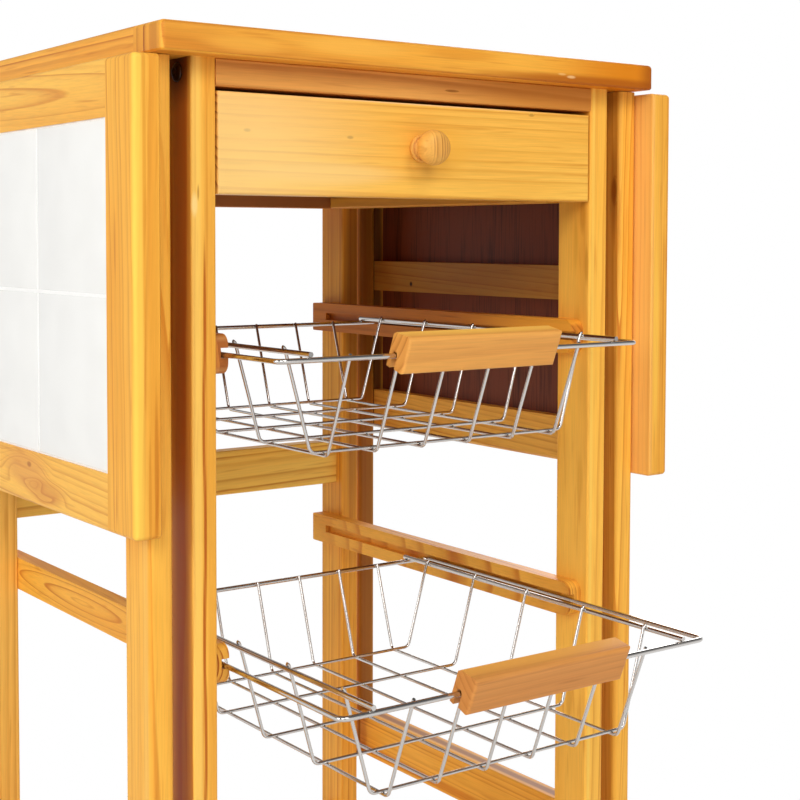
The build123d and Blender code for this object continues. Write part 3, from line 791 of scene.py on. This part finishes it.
@dataclass
class Carcass:
    """The legs, rails and aprons, with the bolts that hold the cross rails."""

    head_radius: float = 5.6 * MM
    head_height: float = 2.2 * MM
    socket: float = 2.2 * MM  # radius of the hexagon socket
    shank_radius: float = 2.9 * MM
    shank_length: float = 14.0 * MM
    timbers: Tuple[str, ...] = (
        *("leg_front_left", "leg_front_right", "leg_rear_left", "leg_rear_right"),
        *("front_rail", "rear_apron", "rear_rail", "bottom_front_rail", "bottom_rear_rail"),
        *("side_aprons", "bottom_side_rails", "drawer_guides", "basket_runners_upper", "basket_runners_lower"),
    )
    bolted: Tuple[Tuple[str, str], ...] = (
        *(("leg_front_left", rail) for rail in ("front_rail", "bottom_front_rail")),
        *(("leg_rear_left", rail) for rail in ("rear_apron", "rear_rail", "bottom_rear_rail")),
    )

    def build(self, pines: Dict[str, VarnishedPine], bolt: Material) -> None:
        """Dresses the timbers and makes the bolts.

        Args:
            pines: The pine of each timber, by node.
            bolt: The bolts' finish.
        """
        for node in self.timbers:
            dress_pine(node, pines)
        self._make_bolts(bolt)

    def _make_bolts(self, finish: Material) -> None:
        """Makes domed bolt heads with a socket and their shanks, in line with the rails that they hold.

        Args:
            finish: Their finish.
        """
        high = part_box("frame_bolts")[1]
        shape = bmesh.new()
        for side in (-1, 1):
            for leg, rail in self.bolted:
                seat = Vector((side * (high.x - self.head_height), middle_of(leg).y, middle_of(rail).z))
                self._add_bolt(shape, seat, ACROSS * side)
        new_piece("frame_bolt_heads", shape, finish, "frame", ("frame_bolts",), None)

    def _add_bolt(self, shape: Shape, seat: Vector, out: Vector) -> None:
        """Adds one bolt to the shape.

        Args:
            shape: The mesh to add to.
            seat: Where the head meets the leg.
            out: Which way the head faces.
        """
        r, h = self.head_radius, self.head_height
        profile = [(-self.shank_length, 0.0), (-self.shank_length, self.shank_radius), (0.0, self.shank_radius)]
        profile += [(0.0, r), (0.35 * h, r), (0.75 * h, 0.8 * r), (h, 0.45 * r)]
        profile += [(h, self.socket), (0.3 * h, self.socket), (0.3 * h, 0.0)]
        bolt = turned_shape(profile, seat, out, 24)
        mesh = bpy.data.meshes.new("bolt")
        bolt.to_mesh(mesh)
        bolt.free()
        shape.from_mesh(mesh)
        bpy.data.meshes.remove(mesh)


@dataclass
class SwingSupport:
    """A gate that swings out to carry a raised leaf."""

    side: str

    def build(self, pines: Dict[str, VarnishedPine]) -> None:
        """Dresses the gate's post, stile and rails in the pines given by node."""
        for part in ("post", "stile", "rails"):
            dress_pine(f"gate_{self.side}_{part}", pines)


@dataclass
class Drawer:
    """The drawer with its turned knob.

    Attributes:
        peg_radius: Radius of the peg through the drawer's front.
        foot_radius: Where the foot's flat back ends.
        foot_bead: The foot's round edge: its middle's place along the knob and off the axis, and its radius.
        neck_cove: The hollow of the neck, given in the same way.
        knob_radius: Radius of the head.
        head_middle: Place along the knob where the head is widest.
        head_back: How far the head curves back from there.
        knob_length: Length from the drawer's front.
        knob_lift: How far the knob's axis lies above the CAD's.
        crisp: The angle in degrees over which an edge of the knob stays crisp.
    """

    peg_radius: float = 3.9 * MM
    foot_radius: float = 7.6 * MM
    foot_bead: Triple = (1.7 * MM, 6.9 * MM, 1.7 * MM)
    neck_cove: Triple = (5.0 * MM, 8.0 * MM, 2.6 * MM)
    knob_radius: float = 11.0 * MM
    head_middle: float = 14.0 * MM
    head_back: float = 8.0 * MM
    knob_length: float = 22.8 * MM
    knob_lift: float = 1.5 * MM
    crisp: float = 40.0

    def build(self, pines: Dict[str, VarnishedPine], ply: Material) -> None:
        """Dresses the box and turns the knob.

        Args:
            pines: The pine of each piece, by node.
            ply: The bottom's finish.
        """
        for node in ("drawer_front", "drawer_sides", "drawer_back"):
            dress_pine(node, pines)
        dress("drawer_bottom", ply)
        self._turn_knob(pines["drawer_knob"])

    def _turn_knob(self, pine: VarnishedPine) -> None:
        """Turns the knob with its peg, foot, neck and domed head.

        Args:
            pine: The knob's pine.
        """
        low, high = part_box("drawer_knob")
        start = Vector((0.0, high.y, (low.z + high.z) / 2 + self.knob_lift))
        peg = high.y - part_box("drawer_front")[0].y
        profile = [(0.0, 0.0), (0.0, self.peg_radius), (peg, self.peg_radius), (peg, self.foot_radius)]
        for (along, off, radius), first, last, steps in ((self.foot_bead, 155, 20, 7), (self.neck_cove, 205, 285, 5)):
            profile += arc((peg + along, off), radius, first, last, steps)
        head_front = self.knob_length - self.head_middle
        for angle in map(radians, range(27, 176, 7)):
            reach = -cos(angle) * (self.head_back if cos(angle) > 0 else head_front)
            profile.append((peg + self.head_middle + reach, self.knob_radius * sin(angle) ** 0.85))
        profile.append((peg + self.knob_length, 0.0))
        shape = turned_shape(profile, start, -REARWARD, 48)
        material = pine.material(middle_of("drawer_knob"))
        new_piece("drawer_turned_knob", shape, material, "drawer", ("drawer_knob",), self.crisp)


@dataclass
class WireBasket:
    """A chromed wire basket on slide rods, with a wooden handle over its front rim.

    Attributes:
        level: upper or lower.
    """

    level: str
    cad_rod: float = 2.0 * MM  # the CAD rods' radius
    rod: float = 1.6 * MM  # radius of the slide rods, rims and cross rods
    wire: float = 1.05 * MM  # radius of the long and cross wires
    length: float = 287.0 * MM
    depth: float = 57.0 * MM
    rod_half: float = 137.0 * MM  # from the middle to a slide rod
    body_half: float = 117.0 * MM  # from the middle to a rod that carries the cross wires
    long_pitch: float = 35.2 * MM
    long_count: int = 6
    cross_pitch: float = 56.8 * MM
    cross_count: int = 5
    front_slope: float = 23.0 * MM  # how far each wall runs in from top to floor
    rear_slope: float = 19.0 * MM
    side_slope: float = 17.0 * MM
    corner: float = 5.0 * MM  # radius of the rim's corners
    floor_bend: float = 4.6 * MM  # radius of the bends at the floor
    nub: Tuple[float, float] = (radians(20), radians(55))  # how far long and cross wires curl over the rods
    crisp: float = 60.0  # degrees

    def build(self, pines: Dict[str, VarnishedPine], chrome: Material) -> None:
        """Bends the wires and dresses the handle.

        Args:
            pines: The pine of each handle, by node.
            chrome: The wires' finish.
        """
        body = f"basket_{self.level}"
        node = f"{body}_wires"
        low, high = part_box(node)
        self.rim_z = high.z - 4 * self.cad_rod + self.rod
        self.front_y = low.y + self.cad_rod
        self.rear_y = self.front_y + self.length
        shape = bmesh.new()
        self._bend_rim(shape)
        self._lay_rods(shape)
        for i in range(self.long_count):
            self._bend_long_wire(shape, (i - (self.long_count - 1) / 2) * self.long_pitch)
        for i in range(self.cross_count):
            self._bend_cross_wire(shape, (i - (self.cross_count - 1) / 2) * self.cross_pitch)
        new_piece(f"{body}_bent_wires", shape, chrome, body, (node,), self.crisp)
        dress_pine(f"{body}_handle", pines)

    def _bend_rim(self, shape: Shape) -> None:
        """Bends the slide rods and the end rims from one rod.

        Args:
            shape: The mesh to draw in.
        """
        half, side = self.rod_half - self.corner, self.length - 2 * self.corner
        bender = WireBender(shape, self.rod, Vector((0.0, self.front_y, self.rim_z)), ACROSS, 12, False)
        for length in (half, side, 2 * half, side):
            bender.run(length).bend(pi / 2, self.corner, UP)
        bender.run(half).join()

    def _lay_rods(self, shape: Shape) -> None:
        """Lays the two rods that carry the cross wires on top of the rims.

        Args:
            shape: The mesh to draw in.
        """
        for side in (-1, 1):
            start = Vector((side * self.body_half, self.front_y - self.rod, self.rim_z + 2 * self.rod))
            WireBender(shape, self.rod, start, REARWARD, 12).run(self.length + 2 * self.rod).stop()

    def _bend_wall_wire(
        self, shape: Shape, ends: Sequence[Tuple[Vector, float]], floor: float, across: Vector, nub: float
    ) -> None:
        """Bends one wire: a nub over a rod, down a sloping wall, along the floor and up to the other rod.

        Args:
            shape: The mesh to draw in.
            ends: For the first and the last rod, its middle and how far its wall runs in.
            floor: Height of the wire's middle line along the floor.
            across: Horizontal direction from the first rod to the last.
            nub: How far its ends bend over the rods.
        """
        axis = UP.cross(across)
        round_rod = self.rod + self.wire
        slopes, touches, corners, cuts = [], [], [], []
        for (rod, run_in), inward in zip(ends, (across, -across)):
            slope = atan2(run_in, rod.z - floor)
            touch = rod + (inward * cos(slope) + UP * sin(slope)) * round_rod
            down = inward * sin(slope) - UP * cos(slope)
            slopes.append(slope)
            touches.append(touch)
            corners.append(touch + down * ((touch.z - floor) / cos(slope)))
            cuts.append(self.floor_bend * tan((pi / 2 - slope) / 2))
        first = ends[0][0]
        start_turn = Matrix.Rotation(-nub, 3, axis)
        heading = start_turn @ (corners[0] - touches[0])
        bender = WireBender(shape, self.wire, first + start_turn @ (touches[0] - first), heading)
        bender.bend(nub, round_rod, axis, 4)
        bender.run((corners[0] - touches[0]).length - cuts[0]).bend(slopes[0] - pi / 2, self.floor_bend, axis)
        bender.run((corners[1] - corners[0]).length - sum(cuts)).bend(slopes[1] - pi / 2, self.floor_bend, axis)
        bender.run((corners[1] - touches[1]).length - cuts[1]).bend(nub, round_rod, axis, 4)
        bender.stop()

    def _bend_long_wire(self, shape: Shape, x: float) -> None:
        """Bends a wire from the front rim to the rear one.

        Args:
            shape: The mesh to draw in.
            x: The wire's place along X.
        """
        ends = (
            (Vector((x, self.front_y, self.rim_z)), self.front_slope),
            (Vector((x, self.rear_y, self.rim_z)), self.rear_slope),
        )
        self._bend_wall_wire(shape, ends, self.rim_z - self.depth - 2 * self.wire, REARWARD, self.nub[0])

    def _bend_cross_wire(self, shape: Shape, place: float) -> None:
        """Bends a wire from the left rod to the right one, on top of the long wires.

        Args:
            shape: The mesh to draw in.
            place: How far behind the basket's middle it lies.
        """
        y, height = (self.front_y + self.rear_y) / 2 + place, self.rim_z + 2 * self.rod
        ends = [(Vector((side * self.body_half, y, height)), self.side_slope) for side in (-1, 1)]
        self._bend_wall_wire(shape, ends, self.rim_z - self.depth, ACROSS, self.nub[1])


@dataclass
class Caster:
    """A swivel caster: pressed fork, stem and wheel."""

    corner: str

    def build(self, steel: Material, nylon: Material) -> None:
        """Dresses the fork in its steel and the wheel in its nylon."""
        dress(f"caster_fork_{self.corner}", steel)
        dress(f"caster_wheel_{self.corner}", nylon)


@dataclass(frozen=True)
class SoftLamp:
    """A square soft box.

    Attributes:
        name: Its name.
        place: Where it hangs.
        aim: What it points at.
        size: Length of its side.
        watts: Its power.
    """

    name: str
    place: Triple
    size: float
    watts: float
    aim: Triple = (0.0, 0.0, 0.5)

    def build(self) -> None:
        """Hangs the lamp."""
        lamp = bpy.data.lights.new(self.name, "AREA")
        lamp.shape = "SQUARE"
        lamp.size = self.size
        lamp.energy = self.watts
        holder = bpy.data.objects.new(self.name, lamp)
        holder.location = self.place
        holder.rotation_euler = (Vector(self.aim) - Vector(self.place)).to_track_quat("-Z", "Y").to_euler()
        holder.visible_camera = False
        bpy.context.scene.collection.objects.link(holder)


@dataclass
class Studio:
    """The photographer's place: camera, lamps, white surroundings and a pale floor.

    Attributes:
        eye: The camera's place.
        yaw: Its heading in degrees, to the right of straight ahead.
        pitch: How far it looks down, in degrees.
        roll: How far it leans, in degrees.
        focal: Its focal length in widths of the picture.
        shift: How far the picture's middle lies from the axis, in widths.
        sensor: Width of the camera's sensor in mm.
        floor_size: Length of the floor's side.
        shade: How far from the middle the floor starts to turn white, and where it is white.
        surround: Strength of the light from the surroundings.
        lamps: The soft boxes.
    """

    eye: Triple = (-0.5620, -0.8573, 0.6369)
    yaw: float = 35.4258
    pitch: float = 2.7402
    roll: float = 0.108
    focal: float = 1.8570
    shift: Tuple[float, float] = (0.0252, -0.1135)
    sensor: float = 36.0
    floor_size: float = 8.0
    shade: Tuple[float, float] = (0.30, 0.62)
    surround: float = 0.30
    lamps: Tuple[SoftLamp, ...] = (
        SoftLamp("over_front", (0.0, -2.2, 2.4), 1.0, 20.5),
        SoftLamp("low_front", (0.2, -2.7, 1.1), 1.6, 7.0),
        SoftLamp("right_rear", (2.3, 1.7, 1.7), 1.5, 34.0),
        SoftLamp("front_left", (-1.6, -2.1, 1.9), 1.2, 24.0),
        SoftLamp("side", (-2.7, -0.5, 1.4), 1.2, 29.0),
    )

    def build(self) -> None:
        """Sets up the camera, lamps, surroundings, floor and colour view."""
        self._camera()
        for lamp in self.lamps:
            lamp.build()
        self._surroundings()
        self._floor()
        bpy.context.scene.view_settings.view_transform = "Standard"

    def _camera(self) -> None:
        """Places the camera as the photograph was taken."""
        yaw, pitch, roll = radians(self.yaw), radians(self.pitch), radians(self.roll)
        ahead = Vector((sin(yaw) * cos(pitch), cos(yaw) * cos(pitch), -sin(pitch)))
        level = Vector((cos(yaw), -sin(yaw), 0.0))
        above = level.cross(ahead)
        right = level * cos(roll) + above * sin(roll)
        up = above * cos(roll) - level * sin(roll)
        data = bpy.data.cameras.new("camera")
        data.sensor_width = self.sensor
        data.lens = self.focal * self.sensor
        data.shift_x, data.shift_y = self.shift
        camera = bpy.data.objects.new("camera", data)
        turn = Matrix((right, up, -ahead)).transposed()
        camera.matrix_world = Matrix.Translation(self.eye) @ turn.to_4x4()
        bpy.context.scene.collection.objects.link(camera)
        bpy.context.scene.camera = camera

    def _surroundings(self) -> None:
        """Makes the surroundings white to the eye, a plain light grey as a lamp, and uneven to glossy surfaces.

        Varnish and chrome mirror a bright wall behind the cart, and a darker room and ceiling in front of it.
        """
        world = bpy.data.worlds.new("studio")
        bpy.context.scene.world = world
        world.use_nodes = True
        tree = world.node_tree
        tree.nodes.clear()
        ray = add_node(tree, "ShaderNodeLightPath").outputs
        towards = add_node(tree, "ShaderNodeTexCoord").outputs["Generated"]
        split = add_node(tree, "ShaderNodeSeparateXYZ", {"Vector": towards}).outputs
        behind = remap(tree, split["Y"], -0.2, 0.5, 0.5, 1.0, smooth=True)
        ceiling = remap(tree, split["Z"], 0.1, 0.6, 1.0, 0.25, smooth=True)
        around = sums(tree, "MULTIPLY", behind, ceiling)
        seen = sums(tree, "MAXIMUM", ray["Is Camera Ray"], ray["Is Transmission Ray"])
        inputs = {0: ray["Is Glossy Ray"], 2: self.surround, 3: around}
        mirror = add_node(tree, "ShaderNodeMix", inputs, data_type="FLOAT").outputs[0]
        strength = add_node(tree, "ShaderNodeMix", {0: seen, 2: mirror, 3: 1.0}, data_type="FLOAT").outputs[0]
        light = add_node(tree, "ShaderNodeBackground", {"Color": WHITE, "Strength": strength})
        add_node(tree, "ShaderNodeOutputWorld", {"Surface": light.outputs["Background"]})

    def _floor(self) -> None:
        """Lays a pale floor that keeps the cart's shadow near it and turns white further off."""
        shape = bmesh.new()
        bmesh.ops.create_grid(shape, x_segments=1, y_segments=1, size=self.floor_size / 2)
        mesh = bpy.data.meshes.new("floor")
        shape.to_mesh(mesh)
        shape.free()
        material, tree, shader = new_material("pale_studio_floor")
        feed(tree, shader, {"Base Color": linear("#F4F4F3"), "Roughness": 0.9, "Specular IOR Level": 0.1})
        place = add_node(tree, "ShaderNodeTexCoord").outputs["Object"]
        far = remap(tree, vector_sums(tree, "LENGTH", place), *self.shade, smooth=True)
        ray = add_node(tree, "ShaderNodeLightPath").outputs
        seen = sums(tree, "MAXIMUM", ray["Is Camera Ray"], ray["Is Glossy Ray"])
        white = sums(tree, "MULTIPLY", far, seen)
        glow = add_node(tree, "ShaderNodeEmission", {"Color": WHITE, "Strength": 1.0})
        inputs = {0: white, 1: shader.outputs["BSDF"], 2: glow.outputs["Emission"]}
        both = add_node(tree, "ShaderNodeMixShader", inputs)
        output = next(node for node in tree.nodes if node.type == "OUTPUT_MATERIAL")
        feed(tree, output, {"Surface": both.outputs["Shader"]})
        mesh.materials.append(material)
        floor = bpy.data.objects.new("floor", mesh)
        bpy.context.scene.collection.objects.link(floor)


# What each board has besides its rings: stained patches, streaks, knots, scuffs, painted highlights and painted shade,
# by node
MARKS: Dict[str, Tuple[Mark, ...]] = {
    "top_end_boards": (  # its front edge
        Mark((215, -184, 0), (150, 70, 60), "#DA7C00", 0.9),
        Mark((140, -184, -7), (140, 6, 6), "#AC5600", 0.85),
        Mark((196, -184, 0), (26, 24, 30), "#A04E00", 0.8),
        Mark((112, -184, -4.4), (5, 2, 1.3), "#F6C98A", 0.7),
        Mark((104, -184, -3), (4.6, 2, 1), "#F3BD74", 0.65),
        Mark((-62, -184, 2), (52, 3, 7), "#F8B94E", 0.55),
        Mark((-135, -184, -2), (36, 3, 6), "#F6B246", 0.5),
        Mark((20, -184, 4), (40, 3, 5), "#D8841C", 0.45),
    ),
    "leaf_left_stiles": (  # streaks on the front edge with a painted highlight along its outer rounded edge, and a darker stain with painted shade on the rear stile's inward face
        # painted highlight: a pale stripe where the rounded outer edge of the front stile catches the light
        Mark((-5.6, -184, 0), (4.4, 5, 500), "#FFCF55", 0.75),
        Mark((-1.5, -184, 60), (1.6, 3, 150), "#D98A22", 0.5),
        Mark((4, -184, 0), (5, 3, 500), "#E08C22", 0.45),
        Mark((5, -184, -96), (1.8, 4, 60), "#B9640F", 0.6),
        Mark((1, -184, -112), (1.4, 4, 44), "#C87414", 0.5),
        # darker stain and painted shade on the rear stile's face towards the cart
        Mark((8.4, 150, 0), (13, 42, 900), "#5A2A12", 0.92),
    ),
    "leaf_right_stiles": (
        # painted light: the front stile's inner face made paler, as where light from the left falls on it
        Mark((-8.4, -160, 0), (4.4, 40, 900), "#FFCB7C", 0.45),
        Mark((-3.6, -184, -40), (3.4, 3, 90), "#FFC850", 0.6),
        Mark((3, -184, -30), (1.5, 3, 110), "#CC7418", 0.6),
        # darker stain and painted shade on the rear stile's face towards the cart
        Mark((-8.4, 150, 0), (13, 42, 900), "#5A2A12", 0.92),
    ),
    "leaf_right_rails": (  # a darker stain with painted shade on the back, a large knot in the lower rail, and a small one in the batten
        # darker stain and painted shade on the back of the rails and batten, which face into the cart
        Mark((-12, 0, 70), (7, 500, 190), "#7C3B18", 0.92),
        Mark((8.4, -30, -112), (14, 46, 16), "#D98E4A", 0.45, 13),
        Mark((8.4, -62, -122), (12, 40, 10), "#CC7A34", 0.5, 9),
        Mark((8.4, -36, -108.5), (3, 4.5, 2.4), "#A85A20", 0.7),
        Mark((-8.4, 96, -5.9), (3, 2.4, 2.8), "#1E0D06", 1.0),
    ),
    "gate_left_post": (Mark((0, -10.5, 0), (14, 5, 2000), "#FFCE68", 0.55),),
    "gate_right_post": (  # a knot high on the inner face, and painted shade down the inner face
        Mark((-7.5, -10.5, 209), (3, 3.6, 14), "#4A1C06", 0.9, 4),
        Mark((-7.5, -10.5, 209), (3.5, 6, 42), "#8C4A14", 0.5),
        # painted shade: the inner face darkened, where it stands in the gap's shade
        Mark((-9, -4, 0), (5, 22, 2000), "#B0640F", 0.4),
    ),
    "gate_right_rails": (Mark((0, 0, 0), (5.2, 2000, 2000), "#8E4E24", 0.8),),
    # painted shade: the rear stile's front face darkened, where it stands in the cart's shade
    "gate_right_stile": (Mark((-2, -10.5, 0), (14, 7, 1200), "#8A480F", 0.85),),
    "leg_front_left": (  # a dark late-wood line wavers down the front with a painted highlight beside the outer edge, and painted shade darkens the outer side, nearly black under the top
        # painted highlight: a pale stripe beside the rounded outer edge of the front face
        Mark((-5, -16, 0), (4.6, 3, 2000), "#FFD068", 0.6),
        Mark((4.6, -16, 60), (4.6, 3, 500), "#E0902A", 0.45),
        *(Mark((0.45 * (-1) ** k - 0.2, -16, 62 * k - 300), (1.3, 3, 56), "#B4560A", 0.9) for k in range(9)),
        # painted shade on the outer side, in the gap by the gate post
        Mark((-12, -3, 0), (11, 17, 2000), "#A0430F", 0.8),
        # painted shade, nearly black, high on the outer side under the top
        Mark((-12, 0, 345), (9, 30, 40), "#240E06", 0.85),
        Mark((-6, -16, 259), (2.6, 3, 9), "#FFDB8C", 0.8),
        Mark((-3.6, -16, 266), (0.9, 3, 6), "#A8601C", 0.6),
    ),
    "leg_front_right": (  # soft patches down the inner side, a knot near the top, a painted highlight down the front, and painted shade on the outer side, nearly black under the top
        Mark((-8, -9, 257), (3, 4, 18), "#C07610", 0.5),
        Mark((-8, -13, 222), (3, 2.6, 18), "#C27812", 0.5),
        Mark((-8, -2, 236), (3, 3, 26), "#CE8A20", 0.35),
        Mark((-8, -4, 176), (3, 5, 24), "#CC8620", 0.35),
        Mark((-8, -8, 73), (3, 4, 24), "#CC8620", 0.4),
        Mark((-8, 1, -84), (3, 4, 20), "#C87E18", 0.4),
        # painted highlight: the front face paler on the side that turns to the light
        Mark((-5, -16, 0), (2, 4, 2000), "#FFD060", 0.6),
        Mark((8, 6, 273), (3, 4, 16), "#5E2408", 0.9),
        # painted shade on the outer side, in the gap by the gate post
        Mark((10, 6, 0), (6, 18, 2000), "#CE7400", 0.6),
        # painted shade, nearly black, high on the outer side under the top
        Mark((10, 4, 345), (7, 30, 24), "#4A1C08", 0.8),
    ),
    "leg_rear_right": (
        # painted shade: the front face and inner side darkened high up, where the front of the cart shades them
        Mark((2, -18, 180), (9, 14, 300), "#8C4A1C", 0.6),
        Mark((-8, -2, 300), (3, 30, 120), "#C0702C", 0.5),
    ),
    "front_rail": (
        Mark((25.2, -15, -1), (7, 2, 1), "#7E4210", 0.8, 2.5),
        Mark((150, -15, 0), (160, 30, 30), "#C0721A", 0.6),
    ),
    # painted shade: the inner front face darkened, where it lies in the cart's shade
    "rear_apron": (Mark((0, -9, 0), (900, 7, 300), "#B87442", 0.9),),
    "basket_runners_upper": (
        Mark((140, -175, 0), (60, 150, 60), "#F5A634", 0.8),
        Mark((-140, -165, 0), (16, 12, 20), "#E8B070", 0.6),
    ),
    "drawer_front": (  # three small eyes, a painted reflection paling the left end, a painted highlight along the upper edge, and soft patches
        *(Mark((x, -8, z), (3.2, 2, 1.4), "#B77F2E", 0.75, 2) for x, z in ((-125, 7.7), (-53, 6.4), (92, 27))),
        # painted reflection: the left end made paler, as where a lamp mirrors in the varnish
        Mark((-190, -8, 0), (190, 40, 90), "#FFDB98", 0.5),
        # painted highlight: a pale line along the rounded upper edge, as where it glints
        Mark((0, -8.6, 29.8), (190, 2.4, 1.8), "#FFE9C4", 0.75),
        Mark((-70, -8, -16), (70, 3, 9), "#FAD084", 0.5),
        Mark((20, -8, 0), (26, 4, 22), "#F2AE3C", 0.45),
    ),
    "drawer_knob": (Mark((11, 0, 0), (9, 30, 20), "#C67C22", 0.55),),
    "basket_upper_handle": (  # a top painted paler, as lit from above, and a dark speck at the left
        # painted light: the top face made paler, as if lit from above
        Mark((0, 1, 14), (160, 18, 7.5), "#FFCC60", 0.9),
        Mark((-64.7, -11, 4.5), (5, 3, 1.2), "#6B3610", 0.7, 1.5),
    ),
    "basket_lower_handle": (
        # painted light: the top face made paler, as if lit from above
        Mark((0, 1, 14), (160, 18, 7.5), "#F2B052", 0.8),
        Mark((-64.7, -11, 4.5), (5, 3, 1.2), "#6B3610", 0.7, 1.5),
    ),
}


def mirrored(marks: Tuple[Mark, ...]) -> Tuple[Mark, ...]:
    """Mirrors the marks of a board on the right for its twin on the left."""
    return tuple(replace(mark, place=(-mark.place[0], *mark.place[1:])) for mark in marks)


def choose_pines() -> Dict[str, VarnishedPine]:
    """Chooses the pine of each board, with its rings and marks, by node.

    Returns:
        The pines.
    """
    x, y, z = Grain.ALONG_X, Grain.ALONG_Y, Grain.ALONG_Z
    marks = {**MARKS, **{f"{part}_left_rails": mirrored(MARKS[f"{part}_right_rails"]) for part in ("leaf", "gate")}}
    pines: Dict[str, VarnishedPine] = {}

    def pine(node: str, grain: Grain, pith: Triple, tone: Tone = HONEY, ring: float = 5.5, **rest: Any) -> None:
        """Adds a board's pine under its node's name."""
        pines[node] = VarnishedPine(f"pine_{node}", grain, pith, tone, ring, marks=marks.get(node, ()), **rest)

    pine("top_end_boards", x, (0, -330, 12), AMBER, 9.0)
    pine("top_side_boards", y, (-168, 0, -74), HONEY, 6.2, contrast=1.0, wander=1.2)
    leaf_rail = Tone("#FCC256", "#C87024", "#EDA43C")
    for side, sign in ((LEFT, -1), (RIGHT, 1)):
        pine(f"leaf_{side}_stiles", z, (sign * -48, -118, 0), HONEY, 3.6, wander=2.6, wave=0.3)
        lean = (sign * 2.5, 0.0, 2.6)
        pine(f"leaf_{side}_rails", y, (sign * 4.9, 0, 120.5), leaf_rail, 5.0, lean=lean, wander=1.5)
        post = (-9, 64, 0) if side == LEFT else (40, 50, 0)
        pine(f"gate_{side}_post", z, post, LEMON, 2.2, wander=1.6, wave=0.25, contrast=0.95)
        pine(f"gate_{side}_rails", y, (sign * -45, 0, 60))
    pine("gate_left_stile", z, (40, 35, 0), Tone("#FFCB68", "#D08A30", "#F6B24A"))
    pine("gate_right_stile", z, (-40, 35, 0))
    pine("leg_front_left", z, (-62, 14, 0), LEMON, 6.5, wander=2.2, wave=0.3, contrast=0.9)
    pine("leg_front_right", z, (58, 12, 0), LEMON, 6.0, wander=3.0, wave=0.25)
    pine("leg_rear_left", z, (-60, 30, 0), Tone("#FFC860", "#CE842A", "#F6B048"))
    pine("leg_rear_right", z, (55, -60, 0), wander=3.0)
    pine("front_rail", x, (0, 60, -25), DULL)
    pine("rear_apron", x, (0, -70, 50))
    # painted light: the rear rail's tone made paler to stand in for light that barely reaches it
    painted_light_tone = Tone("#FFD060", "#C26A10", "#FFBC44")
    pine("rear_rail", x, (0, -12, -92), painted_light_tone, 8.0, lean=(0.0, 0.0, 1.6), contrast=1.0, wander=1.4)
    pine("bottom_front_rail", x, (0, -25, -60))
    pine("bottom_rear_rail", x, (0, -45, 40))
    pine("side_aprons", y, (210, 0, 90))
    pine("bottom_side_rails", y, (190, 0, -80))
    pine("drawer_guides", y, (170, 0, 60))
    pine("basket_runners_upper", y, (180, 0, 40), Tone("#D8842E", "#9A4C12", "#B8661C"))
    pine("basket_runners_lower", y, (-147.4, 0, 1), HONEY, 3.4, lean=(5.0, 0.0, 0.0), wander=1.5, contrast=0.9)
    pine("drawer_front", x, (0, 24, -46), STRAW)
    pine("drawer_sides", y, (200, 0, 40), STRAW)
    pine("drawer_back", x, (0, 40, 50), STRAW)
    pine("drawer_knob", y, (38, 0, 3), Tone("#F0B457", "#C8822F", "#E2A044"), 2.6, contrast=0.6, wander=1.0)
    pine("basket_upper_handle", x, (0, 40, 40), DULL, 6.0, contrast=0.4)
    pine("basket_lower_handle", x, (0, -45, 40), RUDDY, 6.0, contrast=0.3)
    return pines


def main() -> None:
    """Builds the studio and the cart's looks, sub-assembly by sub-assembly."""
    logging.basicConfig(level=logging.INFO, format="%(name)s %(message)s")
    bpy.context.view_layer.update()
    Studio().build()

    tile, grout, nylon = TILE.material(), GROUT.material(), NYLON.material()
    ply = StainedPlywood("stained_plywood", Grain.ALONG_Z).material()
    top_ply = StainedPlywood("stained_plywood_top", Grain.ALONG_Y).material()
    chrome, zinc, oxide = CHROME.material(), ZINC.material(), BLACK_OXIDE.material()
    pines = choose_pines()

    TiledPanel("top", "frame", ("end_boards", "side_boards"), UP, 3).build(pines, tile, grout, top_ply)
    for side, outward in ((LEFT, -ACROSS), (RIGHT, ACROSS)):
        leaf = f"leaf_{side}"
        TiledPanel(leaf, leaf, ("stiles", "rails"), outward, 2).build(pines, tile, grout, ply)
        SwingSupport(side).build(pines)
        dress(f"hinge_{side}_top", zinc)
        dress(f"hinge_{side}_leaf", zinc)
    dress("gate_pivots", zinc)
    Carcass().build(pines, oxide)
    Drawer().build(pines, ply)
    for level in ("upper", "lower"):
        WireBasket(level).build(pines, chrome)
    for corner in ("front_left", "front_right", "rear_left", "rear_right"):
        Caster(corner).build(zinc, nylon)


if __name__ == "__main__":
    main()
